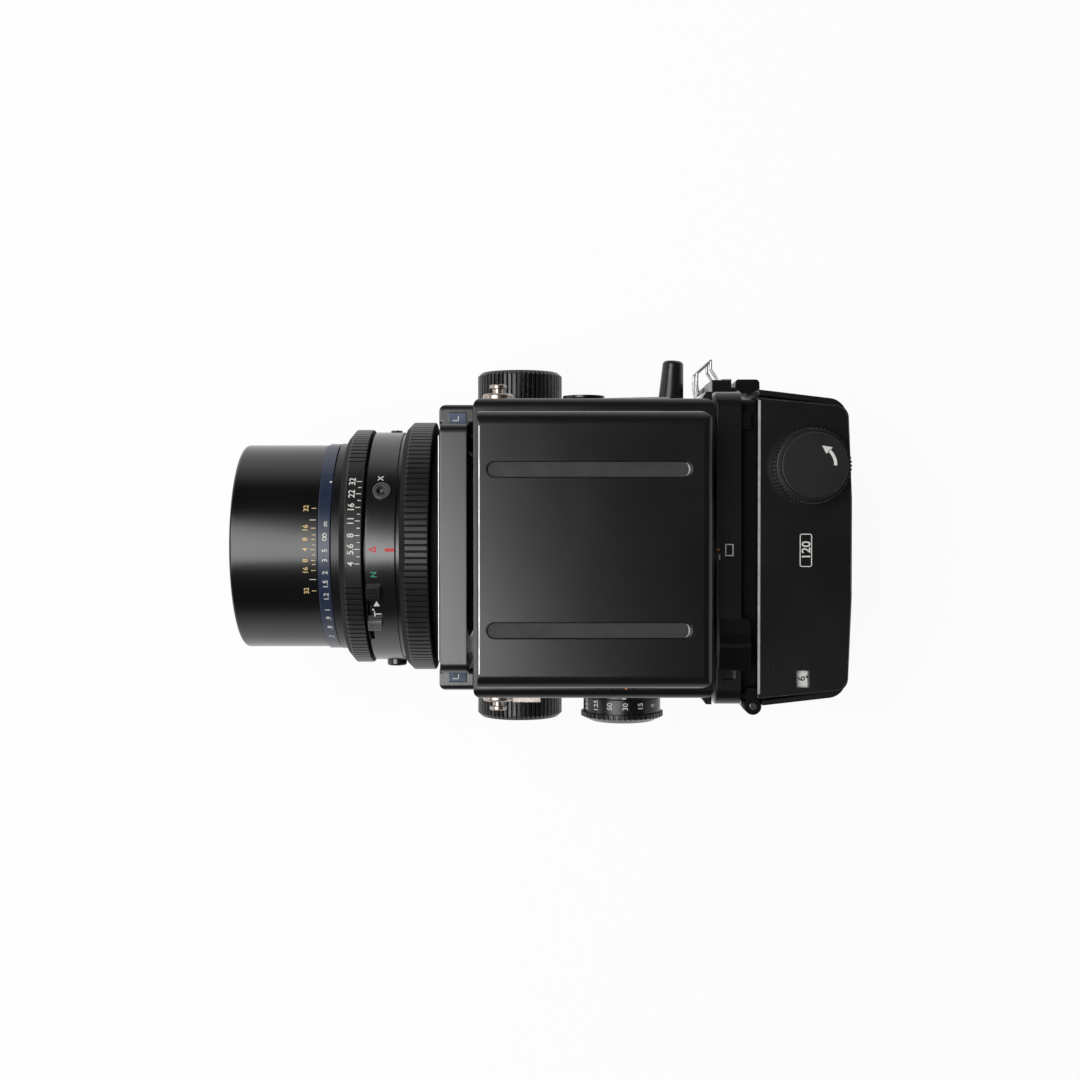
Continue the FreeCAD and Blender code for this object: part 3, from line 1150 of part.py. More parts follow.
# Magazine door, a U that wraps the left, the rear and the right
fh = door_front_half
rh = door_rear_half
ry = door_rear_y
dw = door_wall
bow = plate_bow - 0.1
outer = [(-fh, door_front_y), (-rh, ry, door_corner_r), (-bow_half, ry + bow), (bow_half, ry + bow),
         (rh, ry, door_corner_r), (fh - 0.4, door_front_y + 1.6)]
inner_side = [(fh - dw - 0.2, door_front_y + 1.6), (rh - dw, ry - dw, door_corner_r - dw), (bow_half, ry + bow - dw),
              (-bow_half, ry + bow - dw), (-rh + dw, ry - dw, door_corner_r - dw), (-fh + dw, door_front_y)]
door_half_h = mh - plate_t - 0.4
door = prism(outer + inner_side, "z", axis_z - door_half_h, axis_z + door_half_h)
clear_ears = []
for z0, z1 in ear_spans:
    clear_ears.append(cyl_z(door_ear_r + plate_gap, z0 - 1, z1 + plate_gap if z1 < axis_z else z1 + 1, door_hinge_x,
                            door_hinge_y))
    z_low = z0 - plate_gap if z0 > axis_z else z0 - 1
    clear_ears.append(cyl_z(door_ear_r + plate_gap, z_low, z_low + 3, door_hinge_x, door_hinge_y))
barrel_d = cyl_z(door_ear_r - 0.2, axis_z - mh + 10.4, axis_z + mh - 10.4, door_hinge_x, door_hinge_y)
web_d = box(door_hinge_x - 1.9, door_hinge_x + 0.6, door_hinge_y, door_front_y + 2.4, axis_z - mh + 10.4,
            axis_z + mh - 10.4)
pin_room = cyl_z(door_pin_r + running_gap, axis_z - 60, axis_z + 60, door_hinge_x, door_hinge_y)
door = cut(fuse([door, barrel_d, web_d]), clear_ears + [pin_room])
save("magazine_door", door)

# Door latch on the camera's right
latch = prism([(-fh - 0.3, 61.6), (-fh - 0.3, 66.8), (-65.7, 66.8, 1.6), (-65.7, 57.3, 1.2), (-60.4, 57.3),
               (-60.4, 61.6)], "z", axis_z - 11, axis_z + 11)
save("door_latch", latch)

# Dark slide and its wire handle
sp = box(slide_plate_out_x, slide_plate_in_x, slide_plate_y, slide_plate_y + slide_plate_t, axis_z - slide_plate_half_h,
         axis_z + slide_plate_half_h)
save("dark_slide", sp)


def wire(points, r):
    """Bent round wire from straight runs joined by small balls."""
    pieces = []
    for p, q in zip(points, points[1:]):
        d = V(*q).sub(V(*p))
        pieces.append(Part.makeCylinder(r, d.Length, V(*p), d))
    for p in points[1:-1]:
        pieces.append(Part.makeSphere(r, V(*p)))
    return fuse(pieces)


hx = slide_plate_out_x
hz = axis_z - 22
clamp = box(hx - 5.0, hx - 0.05, slide_plate_y - 3.6, slide_plate_y + slide_plate_t + 1.2, hz - 11, hz + 11)
leg = [(hx - 4.5, 54.0), (hx - 9.0, 52.9), (hx - 12.7, 50.6)]
bar_out = (hx - 16.3, 50.6)
bar_in = (hx - 11.2, 45.0)
foot = [(hx - 6.0, 44.95), (hx - 2.3, 45.5)]
side = leg + [bar_out, bar_in] + foot
flap = prism([(hx - 2.0, 45.0), (hx - 2.8, 44.8), (hx - 8.4, 51.0), (hx - 7.6, 51.7), (hx - 4.6, 51.8)], "z",
             hz - 7, hz + 7)
bail = wire([p + (hz - 7,) for p in side] + [p + (hz + 7,) for p in reversed(side)], handle_wire_r)
save("dark_slide_handle", fuse([clamp, flap, bail]))
print("done")
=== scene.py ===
import json
import math
import bpy
import bmesh
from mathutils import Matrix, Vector


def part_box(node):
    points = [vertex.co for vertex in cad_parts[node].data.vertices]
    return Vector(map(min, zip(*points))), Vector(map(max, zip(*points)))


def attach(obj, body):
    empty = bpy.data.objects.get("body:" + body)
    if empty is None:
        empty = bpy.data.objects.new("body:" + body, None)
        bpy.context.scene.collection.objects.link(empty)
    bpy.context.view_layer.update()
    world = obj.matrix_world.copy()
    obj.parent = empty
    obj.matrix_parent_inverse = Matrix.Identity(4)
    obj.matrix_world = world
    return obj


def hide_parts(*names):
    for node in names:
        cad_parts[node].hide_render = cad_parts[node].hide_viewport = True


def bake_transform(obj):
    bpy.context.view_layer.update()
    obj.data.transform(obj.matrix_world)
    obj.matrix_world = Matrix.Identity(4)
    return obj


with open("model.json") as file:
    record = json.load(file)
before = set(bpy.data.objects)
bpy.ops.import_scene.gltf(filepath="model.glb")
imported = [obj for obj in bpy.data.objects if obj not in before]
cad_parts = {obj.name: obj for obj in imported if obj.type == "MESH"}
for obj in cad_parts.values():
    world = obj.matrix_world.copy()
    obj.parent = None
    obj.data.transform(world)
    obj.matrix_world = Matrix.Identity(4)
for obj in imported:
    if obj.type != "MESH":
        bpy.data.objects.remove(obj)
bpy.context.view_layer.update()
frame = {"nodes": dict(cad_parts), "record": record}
nodes = frame["nodes"]

# Millimetres in metres, and the height of the lens axis in millimetres
MM = 0.001
AXIS_Z = 57.0

# The photograph's view: the camera's place in millimetres, and its picture in pixels
CAMERA_X, CAMERA_Y, CAMERA_Z = -11.4, -19.6, 643.0
CAMERA_ROLL = -0.887
PICTURE_WIDTH = 1080.0
PICTURE_MID_X, PICTURE_MID_Y = 540.0, 517.4
FOCAL_PX = 1459.0


# Shader helpers
class Finish:
    """A node material under construction: textures on Object coordinates feed one Principled shader."""

    def __init__(self, name):
        self.mat = bpy.data.materials.new(name)
        self.mat.use_nodes = True
        self.tree = self.mat.node_tree
        self.tree.nodes.clear()
        self.out = self.tree.nodes.new("ShaderNodeOutputMaterial")
        self.shader = self.tree.nodes.new("ShaderNodeBsdfPrincipled")
        self.link(self.shader.outputs[0], self.out.inputs["Surface"])
        self.coords = self.tree.nodes.new("ShaderNodeTexCoord").outputs["Object"]

    def link(self, a, b):
        self.tree.links.new(a, b)

    def put(self, **values):
        for key, value in values.items():
            self.shader.inputs[key.replace("_", " ")].default_value = value

    def stretched(self, scale, moved=(0, 0, 0)):
        m = self.tree.nodes.new("ShaderNodeMapping")
        m.inputs["Scale"].default_value = scale
        m.inputs["Location"].default_value = moved
        self.link(self.coords, m.inputs["Vector"])
        return m.outputs[0]

    def length(self, vector):
        n = self.tree.nodes.new("ShaderNodeVectorMath")
        n.operation = "LENGTH"
        self.link(vector, n.inputs[0])
        return n.outputs["Value"]

    def noise(self, scale, detail=3.0, rough=0.5, vector=None):
        n = self.tree.nodes.new("ShaderNodeTexNoise")
        n.inputs["Scale"].default_value = scale
        n.inputs["Detail"].default_value = detail
        n.inputs["Roughness"].default_value = rough
        self.link(vector or self.coords, n.inputs["Vector"])
        return n.outputs["Fac"]

    def cells(self, scale, feature="F1"):
        n = self.tree.nodes.new("ShaderNodeTexVoronoi")
        n.feature = feature
        n.inputs["Scale"].default_value = scale
        self.link(self.coords, n.inputs["Vector"])
        return n.outputs["Distance"]

    def spread(self, value, low, high, to_low=0.0, to_high=1.0):
        n = self.tree.nodes.new("ShaderNodeMapRange")
        for key, v in (("From Min", low), ("From Max", high), ("To Min", to_low), ("To Max", to_high)):
            n.inputs[key].default_value = v
        self.link(value, n.inputs["Value"])
        return n.outputs[0]

    def math(self, kind, a, b):
        n = self.tree.nodes.new("ShaderNodeMath")
        n.operation = kind
        for i, v in enumerate((a, b)):
            if isinstance(v, (int, float)):
                n.inputs[i].default_value = v
            else:
                self.link(v, n.inputs[i])
        return n.outputs[0]

    def colour(self, factor, first, second):
        n = self.tree.nodes.new("ShaderNodeMix")
        n.data_type = "RGBA"
        n.inputs[6].default_value = (*first, 1)
        n.inputs[7].default_value = (*second, 1)
        self.link(factor, n.inputs[0])
        self.link(n.outputs[2], self.shader.inputs["Base Color"])

    def roughness(self, factor, low, high):
        self.link(self.spread(factor, 0.3, 0.7, low, high), self.shader.inputs["Roughness"])

    def relief(self, height, distance, strength=1.0, edge=0.0):
        """Bump from a height, on edges rounded by a small radius in metres."""
        n = self.tree.nodes.new("ShaderNodeBump")
        n.inputs["Distance"].default_value = distance
        n.inputs["Strength"].default_value = strength
        self.link(height, n.inputs["Height"])
        if edge:
            b = self.tree.nodes.new("ShaderNodeBevel")
            b.samples = 6
            b.inputs["Radius"].default_value = edge
            self.link(b.outputs[0], n.inputs["Normal"])
        self.link(n.outputs[0], self.shader.inputs["Normal"])


def painted_metal(name, dark, light, rough, grain, edge, gloss=0.5, coat=0.0, scratches=0.5):
    """Sprayed paint on cast or turned metal: fine grain, handling marks and hairline scratches."""
    f = Finish(name)
    cloud = f.noise(14.0, 4.0, 0.6)
    fine = f.noise(2600.0, 2.0, 0.6)
    hair = f.noise(60.0, 3.0, 0.7, f.stretched((1.0, 22.0, 9.0)))
    worn = f.math("MULTIPLY", f.spread(hair, 0.66, 0.74), scratches)
    f.colour(f.math("ADD", f.spread(cloud, 0.3, 0.7, 0.0, 0.55), worn), dark, light)
    handled = f.spread(cloud, 0.3, 0.7, rough[0], rough[1])
    f.link(f.math("ADD", handled, f.math("MULTIPLY", worn, 0.08)), f.shader.inputs["Roughness"])
    f.relief(fine, grain, 0.6, edge)
    f.put(Specular_IOR_Level=gloss, Coat_Weight=coat, Coat_Roughness=0.12, Metallic=0.0)
    return f.mat


def leatherette():
    """Pebbled covering: raised cells with fine grain."""
    f = Finish("pebbled leatherette")
    pebble = f.cells(720.0, "SMOOTH_F1")
    small = f.noise(2400.0, 2.0)
    f.colour(f.spread(pebble, 0.1, 0.7), (0.007, 0.007, 0.0075), (0.015, 0.015, 0.0155))
    f.roughness(small, 0.5, 0.66)
    height = f.math("ADD", f.math("MULTIPLY", pebble, -1.0), f.math("MULTIPLY", small, 0.12))
    f.relief(height, 0.00035, 0.9)
    f.put(Specular_IOR_Level=0.4)
    return f.mat


def moulded_plastic(name, dark, light, rough, edge, gloss=0.45):
    """Moulded plastic with a faint grain."""
    f = Finish(name)
    tone = f.noise(40.0, 3.0)
    grain = f.noise(1900.0, 2.0, 0.55)
    f.colour(f.spread(tone, 0.3, 0.7), dark, light)
    f.roughness(f.noise(180.0, 3.0), rough[0], rough[1])
    f.relief(grain, 0.00003, 0.7, edge)
    f.put(Specular_IOR_Level=gloss)
    return f.mat


def anodised():
    """Turned and anodised metal: very fine tool lines across the turning axis."""
    f = Finish("black anodised metal")
    lines = f.noise(900.0, 1.0, 0.4, f.stretched((0.25, 9.0, 0.25)))
    cloud = f.noise(25.0, 3.0)
    f.colour(f.spread(cloud, 0.3, 0.7), (0.005, 0.005, 0.0055), (0.010, 0.010, 0.0105))
    f.roughness(lines, 0.24, 0.34)
    f.relief(lines, 0.000012, 0.5, 0.00018)
    f.put(Metallic=0.15, Specular_IOR_Level=0.5)
    return f.mat


def ribbed_ring(name, root_r, tip_r, light, rough):
    """Black ring: painted highlight on rib tops, varied at random, painted shade in gaps; told apart by
    distance from the lens axis.
    """
    f = Finish(name)
    reach = f.length(f.stretched((1, 0, 1), (0, 0, -AXIS_Z * MM)))
    top = f.spread(reach, root_r * MM, tip_r * MM)
    painted_highlight = f.math("MULTIPLY", top, f.spread(f.noise(120.0, 4.0, 0.65), 0.3, 0.7, 0.55, 1.0))
    # Painted shade in the gaps, painted highlight on the rib tops
    f.colour(painted_highlight, (0.001, 0.001, 0.001), (light, light, light))
    f.link(f.spread(top, 0.0, 1.0, 0.75, rough), f.shader.inputs["Roughness"])
    f.relief(f.noise(2400.0, 2.0), 0.000012, 0.5, 0.00012)
    f.put(Specular_IOR_Level=0.42)
    return f.mat


def bare_metal(name, dark, light, rough, brush=(0.5, 14.0, 0.5)):
    """Metal with brush lines: the texture is stretched along the brushing."""
    f = Finish(name)
    lines = f.noise(700.0, 2.0, 0.6, f.stretched(brush))
    spots = f.noise(90.0, 4.0, 0.65)
    f.colour(f.spread(spots, 0.35, 0.7), light, dark)
    f.roughness(lines, rough[0], rough[1])
    f.relief(lines, 0.00001, 0.5, 0.00012)
    f.put(Metallic=1.0)
    return f.mat


def coated_glass():
    """Lens glass with its violet coating."""
    f = Finish("coated optical glass")
    haze = f.noise(30.0, 3.0)
    f.colour(f.spread(haze, 0.3, 0.7), (0.80, 0.86, 0.95), (0.90, 0.86, 0.97))
    f.link(f.spread(f.noise(220.0, 3.0), 0.4, 0.8, 0.0, 0.03), f.shader.inputs["Roughness"])
    f.put(Transmission_Weight=1.0, IOR=1.52, Coat_Weight=0.35, Coat_Roughness=0.02)
    f.put(Coat_Tint=(0.62, 0.5, 1.0, 1))
    return f.mat


def ground_glass():
    """Finely ground focusing screen."""
    f = Finish("ground glass screen")
    grain = f.noise(3500.0, 2.0)
    rings = f.cells(1600.0)
    f.colour(f.spread(grain, 0.3, 0.7), (0.72, 0.74, 0.72), (0.82, 0.83, 0.81))
    f.roughness(grain, 0.45, 0.6)
    f.relief(rings, 0.00004, 0.5)
    f.put(Transmission_Weight=0.55, IOR=1.5)
    return f.mat


def silvered():
    """Reflex mirror with a little dust."""
    f = Finish("front silvered mirror")
    dust = f.noise(1400.0, 2.0, 0.7)
    f.colour(f.spread(dust, 0.62, 0.75), (0.88, 0.89, 0.9), (0.7, 0.7, 0.7))
    f.roughness(f.noise(120.0, 3.0), 0.015, 0.05)
    f.put(Metallic=1.0)
    return f.mat


def pleated_cloth():
    """Woven bellows cloth."""
    f = Finish("bellows cloth")
    wa = f.noise(900.0, 1.0, 0.5, f.stretched((6.0, 1.0, 1.0)))
    wb = f.noise(900.0, 1.0, 0.5, f.stretched((1.0, 1.0, 6.0)))
    weave = f.math("MULTIPLY", wa, wb)
    f.colour(f.spread(weave, 0.1, 0.4), (0.008, 0.008, 0.008), (0.02, 0.02, 0.02))
    f.roughness(weave, 0.75, 0.9)
    f.relief(weave, 0.00015, 0.6)
    f.put(Sheen_Weight=0.2, Specular_IOR_Level=0.25)
    return f.mat


def marking(name, colour, shade):
    """Filled engraving: paint with a slightly uneven surface."""
    f = Finish(name)
    f.colour(f.spread(f.noise(500.0, 3.0), 0.3, 0.7), colour, shade)
    f.roughness(f.noise(900.0, 2.0), 0.4, 0.6)
    f.relief(f.noise(3000.0, 2.0), 0.00002, 0.4)
    f.put(Specular_IOR_Level=0.3)
    return f.mat


# One finish for each material slot of the CAD pieces
finishes = {
    "satin_black_paint": painted_metal(
        "satin black paint", (0.0045, 0.0045, 0.0047), (0.0095, 0.0095, 0.0098), rough=(0.2, 0.28),
        grain=0.000012, edge=0.0006),
    "semigloss_black": painted_metal(
        "semi-gloss black enamel", (0.0018, 0.0018, 0.0019), (0.004, 0.004, 0.0042), rough=(0.2, 0.26),
        grain=0.000006, edge=0.0003, coat=0.05, scratches=0.25),
    "black_leatherette": leatherette(),
    "black_plastic": moulded_plastic(
        "moulded black plastic", (0.005, 0.005, 0.0052), (0.0105, 0.0105, 0.011), rough=(0.23, 0.32),
        edge=0.0003),
    "gloss_black_plastic": moulded_plastic(
        "smooth black plastic", (0.004, 0.004, 0.004), (0.008, 0.008, 0.008), rough=(0.16, 0.24),
        edge=0.0003, gloss=0.5),
    "black_anodised": anodised(),
    "blue_ring_paint": painted_metal(
        "blue ring paint", (0.0115, 0.02, 0.048), (0.019, 0.032, 0.071), rough=(0.28, 0.36),
        grain=0.00001, edge=0.0002, coat=0.1, scratches=0.3),
    "bright_steel": bare_metal("brushed steel", (0.42, 0.42, 0.43), (0.62, 0.62, 0.63), rough=(0.22, 0.34)),
    "chrome_plate": bare_metal("chrome plate", (0.6, 0.6, 0.62), (0.8, 0.8, 0.81), rough=(0.06, 0.12)),
    "grey_metal": bare_metal("grey satin metal", (0.22, 0.22, 0.23), (0.36, 0.36, 0.37), rough=(0.34, 0.44)),
    "optical_glass": coated_glass(),
    "ground_screen": ground_glass(),
    "mirror_coating": silvered(),
    "bellows_cloth": pleated_cloth(),
}

# Fills of marks, and painted highlights on edges
white_fill = marking("white engraving fill", (0.78, 0.77, 0.73), (0.66, 0.65, 0.6))
gold_fill = marking("gold engraving fill", (0.85, 0.62, 0.3), (0.7, 0.5, 0.22))
red_fill = marking("red engraving fill", (0.62, 0.05, 0.05), (0.5, 0.03, 0.035))
green_fill = marking("green engraving fill", (0.05, 0.38, 0.24), (0.04, 0.3, 0.18))
orange_fill = marking("orange index fill", (0.75, 0.22, 0.03), (0.62, 0.16, 0.02))
blue_plate = marking("blue-grey scale plate", (0.09, 0.12, 0.19), (0.065, 0.09, 0.14))
ink = marking("black ink", (0.006, 0.006, 0.006), (0.014, 0.014, 0.014))
# Painted highlight: a pale strip that stands in for light caught by the front edge of the magazine's top
# plate
plate_edge_highlight = marking("painted edge highlight strip", (0.5, 0.49, 0.48), (0.36, 0.35, 0.34))
groove_insert = moulded_plastic("matt groove insert", (0.016, 0.016, 0.016), (0.028, 0.028, 0.028),
                                rough=(0.5, 0.62), edge=0.0002)
# Painted highlight: a metal line that stands in for light caught by the rim of the magazine's top plate
rim_shine = bare_metal("painted highlight on the plate rim", (0.05, 0.05, 0.052), (0.16, 0.16, 0.165),
                       rough=(0.25, 0.4), brush=(9.0, 9.0, 0.5))
# Painted highlight: bright metal that stands in for light caught by the lid's and the standard's front edges
# and the grooves' rear ends
painted_edge_shine = bare_metal("painted edge highlight", (0.4, 0.4, 0.4), (0.62, 0.61, 0.6),
                       rough=(0.24, 0.36), brush=(9.0, 0.5, 0.5))

# Pieces that look different from the rest of their slot
worn_steel = bare_metal("warm worn steel", (0.3, 0.25, 0.22), (0.5, 0.44, 0.4), rough=(0.24, 0.34))
special = {
    "finder_lid": painted_metal(
        "satin paint of the lid", (0.0048, 0.0048, 0.005), (0.0105, 0.0105, 0.0108), rough=(0.17, 0.23),
        grain=0.000012, edge=0.0006),
    "front_standard": painted_metal(
        "satin paint of the standard", (0.006, 0.006, 0.0062), (0.012, 0.012, 0.0125), rough=(0.2, 0.28),
        grain=0.000012, edge=0.0006, gloss=0.78),
    "lens_rear_barrel": painted_metal(
        "satin paint of the rear barrel", (0.003, 0.003, 0.0031), (0.006, 0.006, 0.0062), rough=(0.2, 0.26),
        grain=0.000006, edge=0.0003, gloss=0.8, coat=0.05, scratches=0.25),
    # Matt black paint, darkened further as painted shade for the recess between the adapter and the plate
    "magazine_frame": painted_metal(
        "matt black with painted shade inside the back", (0.0015, 0.0015, 0.0015), (0.003, 0.003, 0.003), rough=(0.6, 0.75),
        grain=0.00001, edge=0.0003, gloss=0.12),
    "x_sync_socket": painted_metal(
        "satin nickel", (0.09, 0.088, 0.086), (0.2, 0.195, 0.19), rough=(0.24, 0.32),
        grain=0.000004, edge=0.0001, gloss=0.8),
    "wind_knob": painted_metal(
        "worn black enamel", (0.005, 0.005, 0.005), (0.011, 0.011, 0.011), rough=(0.34, 0.44),
        grain=0.00001, edge=0.0002, gloss=0.42),
    "strap_lugs": worn_steel,
    "focus_lock_lever": worn_steel,
    "bayonet_ring": ribbed_ring("ribbed bayonet ring", root_r=48.55, tip_r=49.2, light=0.016, rough=0.34),
    "aperture_ring": ribbed_ring("ribbed aperture ring", root_r=45.6, tip_r=46.3, light=0.018, rough=0.3),
}
slot_of = {s["node"]: s["material_slot"] for s in frame["record"]["subparts"]}
for node_name, obj in nodes.items():
    finish = special.get(node_name) or finishes[slot_of[node_name]]
    if not obj.material_slots:
        obj.data.materials.append(finish)
    for s in obj.material_slots:
        s.material = finish


# Mesh helpers, in millimetres
def place(name, verts, faces, mat, body):
    """A finished piece in the frame, with its place in its mesh."""
    mesh = bpy.data.meshes.new(name)
    mesh.from_pydata([tuple(c * MM for c in v) for v in verts], [], faces)
    mesh.validate()
    mesh.update()
    mesh.materials.append(mat)
    obj = bpy.data.objects.new(name, mesh)
    bpy.context.scene.collection.objects.link(obj)
    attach(obj, body)
    return obj


def outward(mesh):
    """Turns all faces of a closed mesh outwards."""
    bm = bmesh.new()
    bm.from_mesh(mesh)
    bmesh.ops.recalc_face_normals(bm, faces=bm.faces[:])
    bm.to_mesh(mesh)
    bm.free()


def glyphs(words, height):
    """Flat outline of plain numbers or one letter, centred on the origin."""
    curve = bpy.data.curves.new("glyphs", "FONT")
    curve.body = words
    curve.size = height * 1.42
    curve.align_x = "CENTER"
    curve.resolution_u = 4
    curve.offset = height * 0.014
    obj = bpy.data.objects.new("glyphs", curve)
    bpy.context.scene.collection.objects.link(obj)
    bpy.context.view_layer.update()
    mesh = bpy.data.meshes.new_from_object(obj)
    bpy.data.objects.remove(obj)
    bpy.data.curves.remove(curve)
    pts = [(v.co.x, v.co.y - height / 2) for v in mesh.vertices]
    faces = [tuple(p.vertices) for p in mesh.polygons]
    bpy.data.meshes.remove(mesh)
    return pts, faces


def polygon_shape(points):
    return list(points), [tuple(range(len(points)))]


def rect_shape(w, h):
    return polygon_shape([(-w / 2, -h / 2), (w / 2, -h / 2), (w / 2, h / 2), (-w / 2, h / 2)])


def circle(r, n):
    return [(r * math.cos(2 * math.pi * k / n), r * math.sin(2 * math.pi * k / n)) for k in range(n)]


def arc(cx, cy, r, start, step, count):
    """Points on an arc, from a first angle on in steps, in degrees."""
    angles = [math.radians(start + k * step) for k in range(count)]
    return [(cx + r * math.cos(t), cy + r * math.sin(t)) for t in angles]


def disc_shape(r, n=20):
    return polygon_shape(circle(r, n))


def hollow(outer, inner):
    """Closed band between two outlines with as many points each."""
    n = len(outer)
    return outer + inner, [(k, (k + 1) % n, n + (k + 1) % n, n + k) for k in range(n)]


def band(outer, inner):
    """Open band between two lines with as many points each."""
    n = len(outer)
    return outer + inner, [(k, k + 1, n + k + 1, n + k) for k in range(n - 1)]


def ring_shape(outer_r, inner_r, n=24):
    return hollow(circle(outer_r, n), circle(inner_r, n))


def refine(shape, step):
    """Cuts a flat shape's long edges, so that it follows a curved surface."""
    pts, faces = shape
    bm = bmesh.new()
    vs = [bm.verts.new((x, y, 0)) for x, y in pts]
    for f in faces:
        try:
            bm.faces.new([vs[i] for i in f])
        except ValueError:
            pass
    bmesh.ops.triangulate(bm, faces=bm.faces[:])
    for _ in range(4):
        long = [e for e in bm.edges if abs(e.verts[0].co.x - e.verts[1].co.x) > step]
        if not long:
            break
        bmesh.ops.subdivide_edges(bm, edges=long, cuts=1)
        bmesh.ops.triangulate(bm, faces=bm.faces[:])
    bm.verts.index_update()
    out = [(v.co.x, v.co.y) for v in bm.verts], [tuple(v.index for v in f.verts) for f in bm.faces]
    bm.free()
    return out


# How far a mark stands over its surface and reaches into it, and how wide its faces may be
FILL = 0.06
SUNK = 0.04
MARK_STEP = 1.2


def thick(shape, to_world):
    """Closed thin plate: the shape a little over its surface and again just below it."""
    pts, faces = shape
    n = len(pts)
    verts = [to_world(x, y, FILL) for x, y in pts] + [to_world(x, y, -SUNK) for x, y in pts]
    out = [tuple(f) for f in faces] + [tuple(i + n for i in reversed(f)) for f in faces]
    sides = dict.fromkeys((a, b) for f in faces for a, b in zip(f, f[1:] + f[:1]))
    out += [(b, a, a + n, b + n) for a, b in sides if (b, a) not in sides]
    return verts, out


def around_lens(r, degrees, y):
    """Maps a flat mark onto a cylinder about the lens axis; it reads from behind the camera."""
    def to_world(u, v, h):
        a = math.radians(degrees) - u / r
        return ((r + h) * math.sin(a), y - v, AXIS_Z + (r + h) * math.cos(a))
    return to_world


def on_top(x, y, z, turned=0.0):
    """Maps a flat mark onto a level face, reading from behind the camera."""
    c = math.cos(math.radians(turned))
    s = math.sin(math.radians(turned))

    def to_world(u, v, h):
        a = u * c - v * s
        b = u * s + v * c
        return (x - a, y - b, z + h)
    return to_world


def add_marks(name, entries, mat, body):
    """Joins many mapped flat marks into one piece."""
    verts, faces = [], []
    for shape, mapping in entries:
        v, f = thick(refine(shape, MARK_STEP), mapping)
        base = len(verts)
        verts += v
        faces += [tuple(i + base for i in g) for g in f]
    obj = place(name, verts, faces, mat, body)
    outward(obj.data)
    return obj


def lens_angle(y_px, r):
    """Angle from straight up, on a radius about the lens axis, of what the photograph shows at a height."""
    angle = 0.0
    for _ in range(6):
        depth = CAMERA_Z - AXIS_Z - r * math.cos(math.radians(angle))
        x = (y_px - PICTURE_MID_Y) * depth / FOCAL_PX + CAMERA_X
        angle = math.degrees(math.asin(max(-1, min(1, x / r))))
    return angle


def lens_y(x_px, r, angle):
    """Place along the lens axis of what the photograph shows at a column, on a radius and at an angle."""
    depth = CAMERA_Z - AXIS_Z - r * math.cos(math.radians(angle))
    return (x_px - PICTURE_MID_X) * depth / FOCAL_PX + CAMERA_Y


def seen_at(y_px, r, y):
    return around_lens(r, lens_angle(y_px, r), y)


# Depth of field scale on the front barrel: heights in the photograph, and the lines' lengths
R_FRONT = 40.25
DEPTH_NUMBERS_PX = ((32, 508.3), (16, 528.2), (8, 539.3), (4, 549.5), (8, 560.5), (16, 570.5), (32, 590.8))
DEPTH_LINES_PX = ((508.3, 1.8), (520, 2.4), (528.2, 1.7), (534.8, 1.3), (539.3, 1.6), (544.7, 1.2),
                  (549.5, 1.9), (555, 1.2), (560.5, 1.6), (564.5, 1.3), (570.5, 1.7), (579.5, 2.4),
                  (590.8, 1.8))
DEPTH_NUMBERS_Y, DEPTH_LINES_Y = -107.6, -103.7
gold, ticks = [], []
for number, y_px in DEPTH_NUMBERS_PX:
    gold.append((glyphs(str(number), 1.9), seen_at(y_px, R_FRONT, DEPTH_NUMBERS_Y)))
for y_px, long in DEPTH_LINES_PX:
    group = ticks if long > 2 else gold
    group.append((rect_shape(0.26, long), seen_at(y_px, R_FRONT, DEPTH_LINES_Y - long / 2)))
add_marks("depth_scale_numbers", gold, gold_fill, "standard")
add_marks("depth_scale_ticks", ticks, white_fill, "standard")

# Distance scale on the blue ring, with its infinity sign
R_BLUE, DISTANCE_Y = 40.8, -100.2
DISTANCES_PX = (("m", 524), ("5", 550.5), ("3", 560.5), ("2", 572.7), ("1.5", 584.3), ("1.2", 596.8),
                ("1", 610), (".9", 618.5), (".8", 627.5), (".7", 636.5))
INFINITY_PX, RING_DOT_PX = 537, 482
entries = [(glyphs(text, 1.9), seen_at(y_px, R_BLUE, DISTANCE_Y)) for text, y_px in DISTANCES_PX]
loop_pts, loop_faces = ring_shape(0.8, 0.48, 20)
for side in (-0.7, 0.7):
    loop = [(x + side, y) for x, y in loop_pts], loop_faces
    entries.append((loop, seen_at(INFINITY_PX, R_BLUE, DISTANCE_Y)))
entries.append((disc_shape(0.45), seen_at(RING_DOT_PX, R_BLUE, -98.9)))
add_marks("distance_numbers", entries, white_fill, "distance")

# Aperture numbers with their ticks, and half stops between them
R_APERTURE = 46.4
STOPS_PX = (("32", 481.6), ("22", 493.8), ("16", 507.4), ("11", 521), ("8", 535.5), ("5.6", 549.4),
            ("4", 564))
NUMBER_Y, STOP_Y, HALF_STOP_Y = -89.9, -87.3, -86.9
angles = [lens_angle(y_px, R_APERTURE) for _, y_px in STOPS_PX]
entries = []
for k, (text, _) in enumerate(STOPS_PX):
    entries.append((glyphs(text, 2.4), around_lens(R_APERTURE, angles[k], NUMBER_Y)))
    entries.append((rect_shape(0.3, 2.0), around_lens(R_APERTURE, angles[k], STOP_Y)))
    if k:
        half_way = (angles[k] + angles[k - 1]) / 2
        entries.append((rect_shape(0.3, 1.2), around_lens(R_APERTURE, half_way, HALF_STOP_Y)))
add_marks("aperture_numbers", entries, white_fill, "aperture")

# Marks on the rear barrel: columns and heights in the photograph, and the lean of the barrel there
R_REAR = 45.4
INDEX_PX, INDEX_LINE_PX, NORMAL_PX = 549.6, 550, 574.6
POINTER_PX, TIME_PX, TIME_DOT_PX, FLASH_PX = (376.5, 603.7), (377.2, 614.0), (373.2, 609.8), (380.8, 478.5)


def on_barrel(place_px, lean):
    x_px, y_px = place_px
    return seen_at(y_px, R_REAR, lens_y(x_px, R_REAR, lean))


